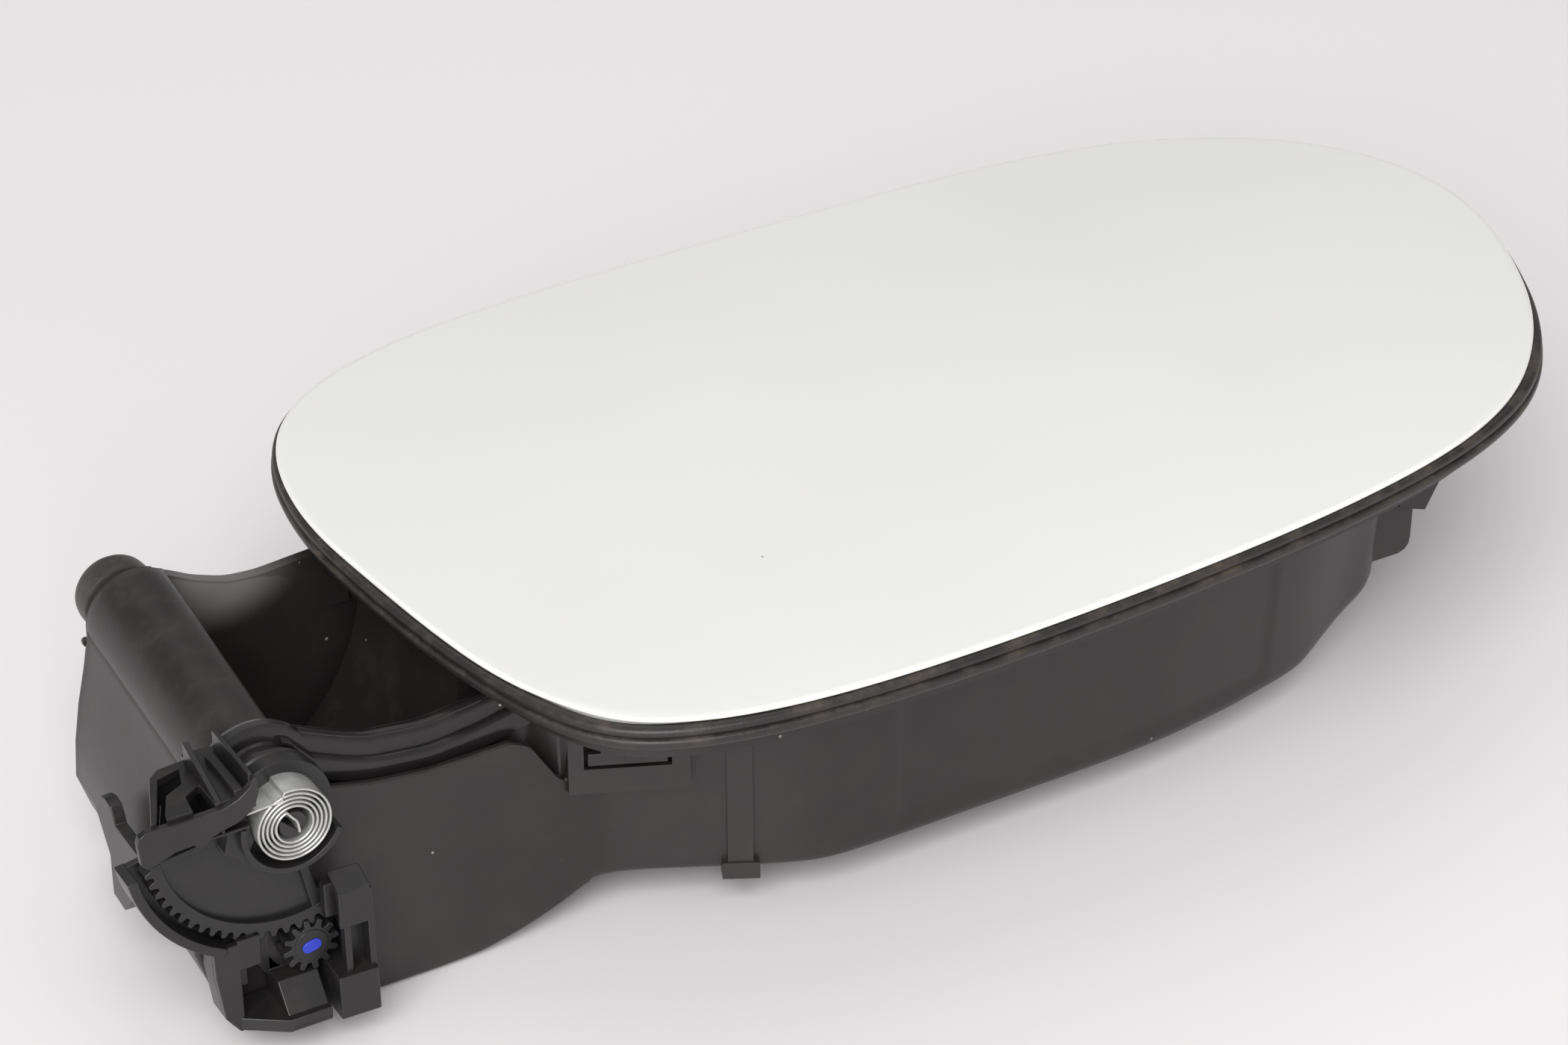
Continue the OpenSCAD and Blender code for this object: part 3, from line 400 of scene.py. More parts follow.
def white_paint():
    """Gloss white paint: a faint waviness, rare dark specks and a clear coat."""
    material, shader, n = new_material("white_paint")
    where = n.add("ShaderNodeTexCoord").outputs["Object"]
    cells = n.add("ShaderNodeTexVoronoi", {"Vector": where, "Scale": 95.0, "Randomness": 1.0}).outputs
    seed = n.add("ShaderNodeSeparateColor", {0: cells["Color"]}).outputs
    rare = n.math("GREATER_THAN", seed[0], 0.86)
    size = n.math("MULTIPLY", seed[1], 0.028)
    dot = n.math("MULTIPLY", n.math("LESS_THAN", cells["Distance"], size), rare)
    drift = n.step(n.noise(where, 9.0, 2.0), 0.3, 0.7)
    base = n.mix(drift, (0.80, 0.80, 0.775, 1), (0.83, 0.83, 0.81, 1))
    n.join(n.mix(n.math("MULTIPLY", dot, 0.6), base, (0.12, 0.10, 0.08, 1)), shader["Base Color"])
    n.join(n.step(n.noise(where, 60.0, 3.0), 0.3, 0.7, 0.16, 0.22), shader["Roughness"])
    shader["Coat Weight"].default_value = 0.6
    shader["Coat Roughness"].default_value = 0.06
    return material


def spring_steel():
    """Zinc-bright strip steel: dull patches and a fine spangle as height."""
    material, shader, n = new_material("spring_steel")
    where = n.add("ShaderNodeTexCoord").outputs["Object"]
    patches = n.noise(where, 420.0, 4.0, 0.7)
    spangle = n.add("ShaderNodeTexVoronoi", {"Vector": where, "Scale": 700.0}).outputs["Distance"]
    tint = n.mix(n.step(patches, 0.35, 0.7), (0.50, 0.50, 0.49, 1), (0.60, 0.60, 0.585, 1))
    n.join(tint, shader["Base Color"])
    shader["Metallic"].default_value = 0.6
    n.join(n.step(patches, 0.3, 0.7, 0.40, 0.47), shader["Roughness"])
    relief = n.add("ShaderNodeBump", {"Strength": 0.1, "Distance": 0.0001, "Height": spangle})
    n.join(relief.outputs[0], shader["Normal"])
    return material


BLACK = black_plastic("black_plastic")
DUSTY = moulded("cap_plastic", (0.030, 0.027, 0.026), 0.42, dust=0.30, specks=0.5, bump=0.05)
GLOSSY = moulded("pocket_plastic", (0.014, 0.0125, 0.013), 0.22, dust=0.05, specks=0.8, bump=0.02)
HOLDER = moulded("holder_plastic", (0.0130, 0.0119, 0.0120), 0.33, dust=0.08, specks=0.4, bump=0.05)
GEAR = moulded("gear_plastic", (0.0130, 0.0122, 0.0126), 0.33, dust=0.06, specks=0.2, bump=0.03)
DARK = moulded("dark_plastic", (0.018, 0.0165, 0.0165), 0.34, dust=0.05, specks=0.2, bump=0.03)
SEAL = moulded("seal_rubber", (0.018, 0.0165, 0.0160), 0.42, dust=0.55, specks=0.7, bump=0.12, grain=1500.0,
               dust_colour=(0.12, 0.09, 0.062))
BLUE = moulded("blue_plastic", (0.02, 0.04, 0.42), 0.35, dust=0.03, specks=0.0, bump=0.03)
PAINT = white_paint()
STEEL = spring_steel()
SCREW_STEEL = moulded("screw_steel", (0.42, 0.42, 0.41), 0.35, dust=0.1, specks=0.0, bump=0.02)

# The CAD nodes that are shown as they are
for node, finish in {"flap_carrier": DARK, "hinge_arm": BLACK, "arm_screws": SCREW_STEEL, "striker": BLACK,
                     "neck_boot": SEAL, "bump_stops": SEAL, "lock_actuator": DARK, "lock_pin": SCREW_STEEL,
                     "actuator_screws": SCREW_STEEL}.items():
    mesh = frame["nodes"][node].data
    mesh.materials.clear()
    mesh.materials.append(finish)


# The flap and its seal
def edge_shift(stations):
    """Offsets at every point of the rim, eased between stations (number of the point, offset)."""
    at, by = np.array(stations, float).T
    raw = np.interp(np.arange(len(RIM_LOOP)), at, by, period=len(RIM_LOOP))
    return np.mean([np.roll(raw, k) for k in range(-6, 7)], axis=0)


# The skin lies a little inside the seal's outline, and most of all at the near left corner. Both offsets fade
# out over SHIFT_FADE towards the inside
SKIN_SHIFT = edge_shift([(0, -0.55), (11, -2.0), (24, -1.1), (36, -0.6), (48, -0.45), (100, -0.35),
                         (120, -0.6), (134, -0.95), (144, -0.7), (158, 0.5), (172, 0), (340, 0),
                         (372, -0.35), (384, 0), (396, -1.0), (408, -0.85)])
SEAL_SHIFT = edge_shift([(0, 0), (132, -0.2), (146, 1.0), (158, 1.1), (172, 0), (356, 0), (372, -0.2),
                         (386, 0.2), (398, 0)])
SHIFT_FADE = 2.4


def along_rim(profile, shift):
    """A grid of the profile's points (offset outwards, z), each carried round the flap's outline. The shift
    moves a point by its full amount at the outline and by nothing at SHIFT_FADE inside it."""
    rows = []
    for d, z in profile:
        offset = d + shift * min(max((d + SHIFT_FADE) / SHIFT_FADE, 0), 1)
        rows.append(np.insert(RIM_LOOP + offset[:, None] * RIM_OUT, 2, z, axis=1))
    return np.stack(rows)


def painted_flap():
    """The skin: a flat underside, a short hem, a rolled edge and a crown. The crown's height is
    1.8 (1 - s^2), s being the share of the outline."""
    crown_height = 1.8
    edge = along_rim([(-6, -1.0), (-6, -1.66), (-2.0, -1.66), (-1.85, -1.5), (-1.8, -0.8), (-0.3, -0.72),
                      (-0.06, -0.66), (0, -0.54), (-0.03, -0.38), (-0.16, -0.22), (-0.45, -0.09),
                      (-0.9, -0.02), (-1.4, 0.0)], SKIN_SHIFT)
    share = 1 - np.linspace(0, 1, 30) ** 1.2
    crown = np.stack([np.insert(edge[-1][:, :2] * s, 2, crown_height * (1 - s * s), axis=1)
                      for s in share[1:]])
    under = np.stack([np.insert(edge[0][:, :2] * s, 2, -1.0, axis=1) for s in (0.0, 0.6)])
    grid = np.concatenate([under, edge, crown])
    piece("painted_flap", [surface(grid, close_cols=True)], PAINT, "flap", ["flap_skin"],
          angle=50)


def rim_seal():
    """The rubber ring: a round upper bead, a groove, a dusty lower lip and a foot on the deck."""
    profile = [(-1.5, -0.95), (-0.25, -0.86), (0.2, -0.95), (0.5, -1.25), (0.62, -1.7), (0.55, -2.1),
               (0.28, -2.38), (0.12, -2.5), (0.1, -2.62), (0.3, -2.72), (0.68, -2.84), (0.84, -3.2),
               (0.86, -3.7), (0.7, -4.2), (0.25, -4.6), (-2.2, -4.7), (-2.2, DECK_TOP), (-5.0, DECK_TOP),
               (-5.0, -4.6), (-2.2, -4.4), (-1.65, -3.9), (-1.55, -1.5)]
    grid = along_rim(profile, SEAL_SHIFT)
    piece("rim_seal_ring", [surface(grid, close_rows=True, close_cols=True)], SEAL, "frame", ["rim_seal"],
          angle=60)


painted_flap()
rim_seal()

# The moulded tub: outlines (x, y) of its top and of its low end, and lines (x, z) of its rims
TUB_TOP = [(-160.8, -33.5), (-158, NEAR_Y), (-140, NEAR_Y), (-120, NEAR_Y), (-106, NEAR_Y), (-100, -36.3),
           (-94, -37), (-87.7, -39.9), (-79.9, -43.6), (-70.9, -47.8), (-61.6, -51.4), (-52, -52.6),
           (-38, -52.8), (-22, -52.8), (0, -52.2), (18, -51), (34, -48.4), (46.5, -45.2), (58, -40.6),
           (66.6, -35.8), (68.2, -20), (62, 0), (60, 18), (54, 32), (42, 42.5), (20, 48), (-8, 50.5),
           (-40, 50.5), (-66, 47), (-86, 38.5), (-102, 28), (-113, 23.4), (-128, FAR_Y), (-145, FAR_Y),
           (-158.6, FAR_Y), (-160.8, 21), (-160.8, 12), (-160.8, -4), (-160.8, -20)]
TUB_LOW = [(-160, -33), (-157.4, -35.6), (-140, NEAR_Y), (-120, NEAR_Y), (-106, NEAR_Y), (-100, -36.2),
           (-94, -36.6), (-87.7, -38.7), (-79.9, -42.5), (-70.9, -46.9), (-61.6, -50.8), (-52.5, -51.9),
           (-38, -51.9), (-22, -51.7), (0, -51.2), (17, -49.6), (33, -46.8), (44, -43.9), (56, -39.2),
           (65, -34.6), (66.4, -19), (59.5, 0), (57.5, 16), (51.5, 30), (40, 40), (18, 45.6), (-8, 48),
           (-40, 48), (-65, 44.6), (-84, 36.5), (-100, 26.5), (-112, 22.6), (-128, 21.9), (-145, 21.9),
           (-157.8, 21.9), (-160, 20.2), (-160, 12), (-160, -4), (-160, -20)]
TUB_STEPS = len(TUB_TOP) * 14
NEAR_RIM = [(-151.6, -3.1), (-148.3, -3.4), (-144.6, -5.7), (-137.8, -8.9), (-132.7, -10.9),
            (-122.3, -12.1), (-112.9, -11), (-104, -9), (POCKET_END, DECK_LOW)]
FAR_RIM = [(-151.6, -3.1), (-149, -3.7), (-141.3, -7.3), (-133.3, -9.5), (-127.9, -9.9), (-118.9, -9.1),
           (-110, -8.5), (-100, DECK_LOW)]
NEAR_EDGE = [(-160, -12.3), (-146, -13.8), (-133.6, -16.7), (-123.2, -17.8), (-109.2, -17.5), (-106, -19),
             (-101.5, -26.5), (-99.2, -28.5), (-98.2, -9), (POCKET_END, DECK_LOW)]


def along(x, line, soft=1.5):
    """Height of a line of (x, z) points at x, with its corners rounded over the length soft."""
    px, pz = np.array(line, float).T
    return np.mean([np.interp(x + soft * s, px, pz) for s in np.linspace(-1, 1, 9)], axis=0)


def floor_height(x):
    """Height of the tub's underside: the pocket's belly, a step up to the bowl, and the sloping end."""
    return along(x, [(-170, BELLY_Z), (-123, BELLY_Z), (-116, -56.9), (-108.8, -55.2), (-104, -53.6),
                     (-100.3, -52), (-96.1, -49.9), (-93, BOWL_Z), (25, BOWL_Z), (43.5, -48.9), (65.5, -41.3),
                     (74, -38.5)], 2.0)


def bulge(x, z):
    """How far the left wall stands out: it slopes out to a crease and then falls in again."""
    out = np.interp(-z, [12.3, 15.9, 20.8, 25, 29.9, 35.7, 40.4, 43.4, 48.2, 53, 57.2],
                    [0, 0.6, 1.8, 2.95, 4.1, 4.9, 5.35, 4.2, 2.4, 0.3, -1.4])
    return out * eased((-152 - x) / 6)


def tub():
    """The tub as one loft of closed loops: neck hole, inner floor, inner wall, rim, the slot behind the near
    wall, outer wall, underside. Plan and height of each loop blend between the top and low outlines."""
    top = closed_spline(TUB_TOP, TUB_STEPS)
    low = closed_spline(TUB_LOW, TUB_STEPS)
    x, y = top.T
    out_top, out_low = outward(top), outward(low)
    left = x < -150
    near = (y < 0) & (x < POCKET_END) & ~left
    far = (y > 0) & (x < POCKET_END) & ~left
    base = floor_height(low[:, 0])
    rim_in = np.where(near, along(x, NEAR_RIM), np.where(far, along(x, FAR_RIM), DECK_LOW))
    rim_in = np.where(left, HINGE_Z + 0.32, rim_in)
    crest = np.where(near, along(x, NEAR_EDGE, 0.6), rim_in)
    depth = np.where(near, np.interp(x, [-150, -104, -98], [6.8, 6.8, WALL]), WALL)
    slot_in = np.where(near, np.minimum(-depth + 1.9, -0.9), -0.9)
    slot_low = np.where(near, crest - 9, crest - 0.3)
    aim = np.arctan2(low[:, 1] - NECK_MIDDLE[1], low[:, 0] - NECK_MIDDLE[0])
    neck = NECK_MIDDLE + NECK_R * np.stack([np.cos(aim), np.sin(aim)], 1)

    def loop(t, d, z):
        """A loop at the height z: t blends the top outline into the low one, d is its offset outwards."""
        t, d = (np.broadcast_to(v, x.shape)[:, None] for v in (t, d))
        plan = top + (low - top) * t + d * (out_top * (1 - t) + out_low * t)
        return np.column_stack([plan[:, 0] - bulge(x, z), plan[:, 1], z])

    def floor_rings(d, lift, shares):
        """Loops of a floor, from the low outline with the offset d at share 0 to the neck's hole at 1."""
        edge = low + d * out_low
        plans = [edge + (neck - edge) * s for s in shares]
        return [np.column_stack([plan, floor_height(plan[:, 0]) + lift]) for plan in plans]

    rows = floor_rings(-WALL - 2.5, WALL, np.linspace(1, 0.04, 14))
    rows += [loop(1.0, -depth - 1.2, base + WALL + 0.5), loop(1.0, -depth - 0.3, base + WALL + 1.6)]
    rows += [loop(t, -depth, rim_in + (base - rim_in) * t) for t in (0.85, 0.6, 0.35, 0.12)]
    # The rim, down into the slot and up again to the crest of the outer wall
    rows += [loop(0, d, z) for d, z in (
        (-depth, rim_in - 0.5), (-depth + 0.3, rim_in), (slot_in - 0.2, rim_in), (slot_in, rim_in - 0.3),
        (slot_in, np.minimum(slot_low + 1, rim_in - 0.35)), (np.minimum(slot_in + 0.8, -0.85), slot_low),
        (-1.5 + 0.7 * ~near, slot_low), (-1.5 + 0.75 * ~near, crest - 0.25), (-1.2 + 0.5 * ~near, crest),
        (-0.3, crest), (0, crest - 0.3))]
    # The middle of the near wall lies 0.5 mm back as a broad panel
    panel = np.clip((x + 46) / 1.2, 0, 1) * np.clip((35 - x) / 2, 0, 1) * (y < 0)
    rows += [loop(t ** 1.4, -0.5 * panel * (t < 0.91), crest + (base - crest) * t)
             for t in (0.04, 0.15, 0.3, 0.45, 0.6, 0.75, 0.86, 0.905, 0.935)]
    foot = np.where(x < POCKET_END, 0.9, 1.6)
    rows += [loop(1.0, -foot * (1 - np.cos(a)), base + foot * (1 - np.sin(a)))
             for a in np.radians([0, 30, 60, 90])]
    rows += floor_rings(-2.8, 0, np.linspace(0.02, 1, 14))
    return skewed(surface(np.stack(rows), close_rows=True, close_cols=True))


def skewed(part):
    """The part with its left side turned: x grows by SKEW from the near to the far end, and less towards the
    pocket's middle."""
    points, faces = part
    points = np.array(points, float)
    share = eased((-132 - points[:, 0]) / 14)
    points[:, 0] += SKEW * np.clip((points[:, 1] + 31) / 53.7, 0, 1) * share
    return points, faces


def hood():
    """The hood over the hinge: an arc from its left side to the pocket's mouth, whose edge is rolled in. The
    mouth's angle falls evenly from 72 degrees at the near end to 61 at the far end, where a small cut rounds
    the hood's own edge."""
    sections = [(POCKET_NEAR - 1, 0), *((y, 0) for y in np.linspace(-26, 20, 10)), (FAR_Y - 0.5, 0),
                (FAR_Y - 0.12, 0.12), (FAR_Y, 0.45)]
    rows = []
    for y, cut in sections:
        mouth = 72 - 11 * (y - POCKET_NEAR) / 52
        lip = polar(HINGE, mouth + np.array([-4, -7.5, -10, -10.5, -9, -5.5]),
                    np.array([9.15, 8.95, 8.5, 7.9, 7.35, 7.02]))
        outline = np.vstack([[(-160.6 + cut, -15)], arc(HINGE, HOOD_R - cut, 180, mouth, 44), lip,
                             arc(HINGE, HOOD_R - WALL, mouth, 180, 30), [(-158.7, -14)]])
        rows.append(np.insert(outline, 1, y, axis=1))
    return skewed(loft(rows))


def end_wall(line, y0, y1):
    """The wall at an end of the hood: its top follows the hood and then the pocket's rim."""
    x = np.linspace(-148.4, -112, 30)
    rim = np.column_stack([x, along(x, line) + 0.02])
    return skewed(across(np.vstack([[(-160.9, -20)], arc(HINGE, HOOD_R, 180, 70, 30), rim, [(-112, -20)]]),
                         y0, y1))


# The clip panel: its left end and turn in plan, its length and its low edge
PANEL_X, PANEL_Y, PANEL_TURN = -99.8, -37.2, math.atan2(-8.1, 18.3)
PANEL_L, PANEL_LOW = 20.0, -30.4


def on_panel(s, z, lift=0.0):
    """A point of the clip panel's face: s along it from its left edge, at height z, lift in front of it."""
    c, w = math.cos(PANEL_TURN), math.sin(PANEL_TURN)
    return np.stack([PANEL_X + s * c + lift * w, PANEL_Y + s * w - lift * c, z], -1)


def clip_panel():
    """The flat panel with the snap tongue: a window and a U-shaped slot are left open in its cells."""
    stations = [0, 2.6, 3.3, 5.4, 16.3, 17.0, PANEL_L]
    heights = [PANEL_LOW, -25.6, -24.9, -22.6, UNDER_DECK]
    keep = [[1, 1, 1, 1, 1, 1],
            [1, 0, 0, 0, 0, 1],
            [1, 0, 1, 1, 0, 1],
            [1, 0, 0, 1, 0, 1]]
    return windowed(stations, heights, keep, lambda s, z, side: on_panel(s, z, -0.9 * side))


def panel_parts():
    """The panel, the bars and the plate behind its face, and the tongue's catch."""
    parts = [clip_panel()]
    for s0, s1, z0, z1, front, back in (
            (0, 0.9, PANEL_LOW, UNDER_DECK, -0.8, -4.5), (19.2, PANEL_L, PANEL_LOW, UNDER_DECK, -0.8, -3.5),
            (0, PANEL_L, PANEL_LOW, -29.6, -0.8, -3.5), (0.5, 19.5, -29, UNDER_DECK, -2.6, -3.2)):
        corners = ((s0, back), (s1, back), (s1, front), (s0, front))
        parts.append(loft([[on_panel(s, z, lift) for s, lift in corners] for z in (z0, z1)]))
    catch = [(-15, -0.2), (-24.3, -0.2), (-24.3, 0.3), (-18, 1.5), (-15, 1.5)]
    parts.append(loft([[on_panel(s, z, lift) for z, lift in catch] for s in (9.4, 12.4)]))
    return parts


def wall_rib():
    """The upright rib on the near wall with its wider foot."""
    plan = [(-75.2, -45.9), (-71.4, -47.9), (-70.6, -46), (-74.4, -44)]
    foot = [(-76.2, -45.8), (-70.6, -48.7), (-69.6, -46.2), (-75.2, -43.4)]
    return [upright(plan, -50.2, UNDER_DECK), upright(foot, -50.6, -47.4)]


def right_gussets():
    """The corner boss and the three-cornered gusset under the deck at the bowl's end."""
    low = [(67.5, -38.6, -25.8), (73.4, -38.6, -27.9), (74.5, -34.5, -26), (68.5, -34.5, -25)]
    high = [(67.5, -38.6, UNDER_DECK), (81.5, -40.5, UNDER_DECK), (82.5, -36, UNDER_DECK),
            (68.5, -34.5, UNDER_DECK)]
    boss = [(62.5, DECK_LOW), (62.5, -37.6), (70.2, -37.6), (71.6, -37.1), (72.4, -36.2), (72.7, -34.8),
            (73, DECK_LOW)]
    return [loft([low, high]), across(boss, -35.9, -28)]


def deck():
    """The deck plate under the seal, from inside the flap's outline to 1.1 mm inside the tub's. The tub's is
    found along rays from a point in the bowl."""
    middle = np.array([-25.0, 0.0])
    outer = RIM_LOOP - 3.2 * RIM_OUT
    ray = outer - middle
    to_tub = closed_spline(TUB_TOP, TUB_STEPS) - middle
    angle = np.arctan2(ray[:, 1], ray[:, 0])
    aim, far = np.arctan2(to_tub[:, 1], to_tub[:, 0]), np.hypot(*to_tub.T)
    reach = np.interp(angle, aim, far, period=2 * math.pi) - 1.1
    inner = middle + reach[:, None] * np.stack([np.cos(angle), np.sin(angle)], 1)
    inner[:, 0] = np.maximum(inner[:, 0], outer[:, 0].min() + 9)
    inner = np.where((reach > np.hypot(*ray.T) - 1)[:, None], outer * 0.985, inner)
    rows = [np.insert(plan, 2, z, axis=1) for plan, z in
            ((inner, DECK_TOP), (outer, DECK_TOP), (outer, DECK_LOW), (inner, DECK_LOW))]
    return surface(np.stack(rows), close_rows=True, close_cols=True)


def pocket_lip():
    """Two rounded ridges along the pocket's near edge, a profile in Y and Z carried along the rim's line."""
    profile = np.array([(-29.35, -2.2), (-29.35, -0.3), (-29.7, 0.15), (-30.5, 0.3), (-31.3, 0.05),
                        (-31.8, -0.6), (-32.1, -1.6), (-32.2, -2.7), (-32.4, -3.1), (-32.9, -3.0),
                        (-33.5, -3.2), (-33.9, -3.8), (-34, -4.8), (-33.6, -7.5), (-32, -7.5),
                        (-31, -2.2)])
    x = np.linspace(-147.6, -97, 90)[:, None]
    rise = np.clip((x + 147.6) / 5, 0.3, 1)
    height = along(x[:, 0], NEAR_RIM, 2.5)[:, None] + profile[:, 1] * rise
    return loft(np.stack(np.broadcast_arrays(x, profile[:, 0], height), 2))


# The tub's plastic carries a painted sheen, a lighter patch that stands in for light on the pocket's far wall
piece("tub", [tub(), hood(), end_wall(FAR_RIM, POCKET_FAR, FAR_Y), end_wall(NEAR_RIM, -31.5, POCKET_NEAR),
              *panel_parts(), *wall_rib(), *right_gussets(), deck()],
      tub_plastic_painted_sheen(), "frame", ["housing"], angle=40)
piece("pocket_ridges", [pocket_lip()], GLOSSY, "frame", ["pocket_lip"], angle=50)

# The hinge's ends: outlines (radius, y) of the collar, the flange, and the far cap and its small knob
COLLAR = [(2, -29.4), (9.1, -29.4), (9.9, -29.9), (10.2, -30.8), (9.9, -31.7), (9.1, -32.2), (7.2, -32.6),
          (6.9, -33.1), (6.9, -33.6), (7.3, -34.0), (7.35, -36.2), (2, -36.2)]
FLANGE = [(3.3, -36.2), (7.9, -36.2), (8.4, -36.6), (8.4, -37.5), (8.1, -37.9), (3.3, -37.9)]
CAP = [(0.05, 22.75), (5.2, 22.75), (5.2, 27.3), (6.3, 27.35), (6.75, 27.6), (6.85, 28.2), (6.85, 31.4),
       (6.7, 32.4), (6.2, 33.2), (5.2, 33.7), (3.4, 33.95), (0.05, 34.0)]
KNOB = [(0.02, 22.5), (0.7, 22.5), (0.72, 23.2), (0.6, 23.7), (0.35, 24.0), (0.02, 24.1)]
CAP_SHIFT = 1.8

piece("hinge_collar", [turned(COLLAR, HINGE, 96)], GLOSSY, "frame", [], angle=30)
piece("flange_bush", [turned(FLANGE, HINGE, 96)], DARK, "frame", ["near_bush"], angle=30)
piece("far_cap", [turned(CAP, (HINGE_X + CAP_SHIFT, HINGE_Z), 96, capped=True),
                  turned(KNOB, (-158.5, -14.7), 32, capped=True)],
      DUSTY, "frame", ["far_bearing_cap"], angle=30)


# Spring, sector and damper
def strip(path, y0, y1, thick, chamfer=0.09):
    """A flat strip carried along a path in X and Z: at each point its section is an eight-sided bar, turned
    to the path's normal."""
    p = np.asarray(path, float)
    t = np.gradient(p, axis=0)
    t /= np.linalg.norm(t, axis=1)[:, None]
    n = np.stack([-t[:, 1], t[:, 0]], 1)
    h, c = thick / 2, chamfer
    section = [(-h, y0 + c), (-h + c, y0), (h - c, y0), (h, y0 + c), (h, y1 - c), (h - c, y1), (-h + c, y1),
               (-h, y1 - c)]
    return loft(np.stack([np.insert(p + d * n, 1, y, axis=1) for d, y in section], 1))


def spiral_spring():
    """The wound strip: its radius grows evenly with the angle. The inner end bends across the slotted post,
    and the outer end leaves level under the bracket. Both ends are set from one point beside the hinge."""
    turns, r0, r1, end, thick = 4.97, 2.8, 6.45, 100, 0.36
    share = np.linspace(0, 1, 520)
    coil = polar(HINGE, end - (1 - share) * turns * 360, r0 + (r1 - r0) * share)
    point = np.array([HINGE_X + 0.8, HINGE_Z - 1.25])
    hook = point + np.array([(0.12, -0.3), (0.08, 0.4), (-0.02, 1.1), (-0.2, 1.75), (-0.45, 2.15),
                             (-0.7, 2.4)])
    tail = point + np.array([(-2.4, 6.25), (-3.9, 6.1), (-5.3, 6.1), (-6.9, 6.0), (-8.3, 5.9)])
    piece("wound_spring", [strip(np.vstack([hook, coil, tail]), SPRING_Y0, SPRING_Y1, thick)], STEEL, "frame",
          ["spiral_spring"], angle=40)


def toothed(r_root, r_tip, teeth, start, end, phase, steps=10):
    """Angles and radii of a toothed edge: the radius swings between root and tip once a tooth, flattened at
    both, r = mid + half tanh(k cos) / tanh(k)."""
    count = int(abs(end - start) / 360 * teeth * steps) + 1
    a = np.linspace(start, end, count)
    wave = np.tanh(2.4 * np.cos(np.radians((a - phase) * teeth))) / math.tanh(2.4)
    return a, (r_tip + r_root) / 2 + (r_tip - r_root) / 2 * wave


def band(*arcs):
    """An outline about the hinge that joins arcs, each given as radius, first angle, last angle, points."""
    return np.vstack([arc(HINGE, *one) for one in arcs])


def gear_sector():
    """The sector: toothed rim, sunk web, two spokes, hub disc, the cup round the spring with its lug, and the
    disc behind it. A gap between two teeth faces the pinion."""
    a0, a1 = SECTOR_A0, SECTOR_A1
    edge = toothed(SECTOR_R - 0.72, SECTOR_R + 0.52, SECTOR_TEETH, a0, a1, MESH_ANGLE + 180 / SECTOR_TEETH)
    rim = np.vstack([polar(HINGE, *edge), arc(HINGE, 20.6, a1, a0, 90)])
    web = band((20.8, a0, a1, 80), (8.0, a1, a0, 40))
    right = band((21.5, 281, a1, 4), (7, 292, 281, 6))
    left = band((21.5, a0, 192.5, 4), (7, 200, a0, 6))
    hub = band((11.3, 176, 291, 60), (5, 291, 176, 30))
    cup = band((8.75, 168, 338, 90), (7.75, 338, 168, 90))
    lug = [(-162.6, -14.8), (-159.4, -17.6), (-157.6, -14), (-158.6, -9.4), (-161.4, -9.8)]
    back = turned([(3.4, -41.2), (8.7, -41.2), (8.7, -38.5), (3.4, -38.5)], HINGE)
    y0, y1 = SECTOR_Y0, SECTOR_Y1
    parts = [across(rim, y0, y1), across(web, y0 + 1.1, y1), across(right, y0 + 0.1, y1),
             across(left, y0 + 0.3, y1), across(hub, y0 - 0.1, y1 - 0.4), across(cup, -46.2, y0 + 0.5),
             across(lug, -44.6, y0 + 0.4), back]
    piece("toothed_sector", parts, GEAR, "flap", ["gear_sector"], bevel=0.14, angle=32)


def damper_pinion():
    """Rounded teeth about a boss. A tooth faces the sector."""
    a, r = toothed(PINION_R - 0.78, PINION_R + 0.62, PINION_TEETH, 0, 360, MESH_ANGLE + 180, 24)
    ring = polar(PINION, a[:-1], r[:-1])
    boss = arc(PINION, 2.9, 0, 352.5, 48)
    piece("pinion_gear",
          [across(ring, SECTOR_Y0 - 0.4, SECTOR_Y1), across(boss, SECTOR_Y0 - 0.55, SECTOR_Y0)],
          GEAR, "pinion", ["damper_pinion"], bevel=0.12, angle=32)


def blue_core():
    """The rotor's end: a bar with two flats and rounded ends, turned by its lean."""
    lean, half, r = math.radians(14), 0.62, 1.05
    a = np.radians(np.linspace(-90, 90, 12))
    right = np.stack([half + r * np.cos(a), r * np.sin(a)], 1)
    turn = np.array([[math.cos(lean), math.sin(lean)], [-math.sin(lean), math.cos(lean)]])
    form = np.vstack([right, -right]) @ turn + PINION
    piece("blue_core", [across(form, SECTOR_Y0 - 0.8, SECTOR_Y1 + 0.8)], BLUE, "pinion", ["damper_rotor"],
          bevel=0.15, angle=40)


def damper_body():
    """The damper's case: a round disc with a stepped rim and a curved latch down its right side."""
    disc = [(2.3, -38.15), (6.3, -38.15), (6.85, -37.7), (6.85, -36.2), (6.85, -32), (2.3, -32)]
    latch = np.vstack([arc(PINION, 7.9, 62, -18, 20), [(-140.6, -44.4), (-141.6, -46.2), (-142.6, -45.6)],
                       arc(PINION, 6.9, -18, 62, 20)])
    piece("damper_case", [turned(disc, PINION), across(latch, -38.05, -36.2)], HOLDER, "frame",
          ["damper_body"], bevel=0.15, angle=35)


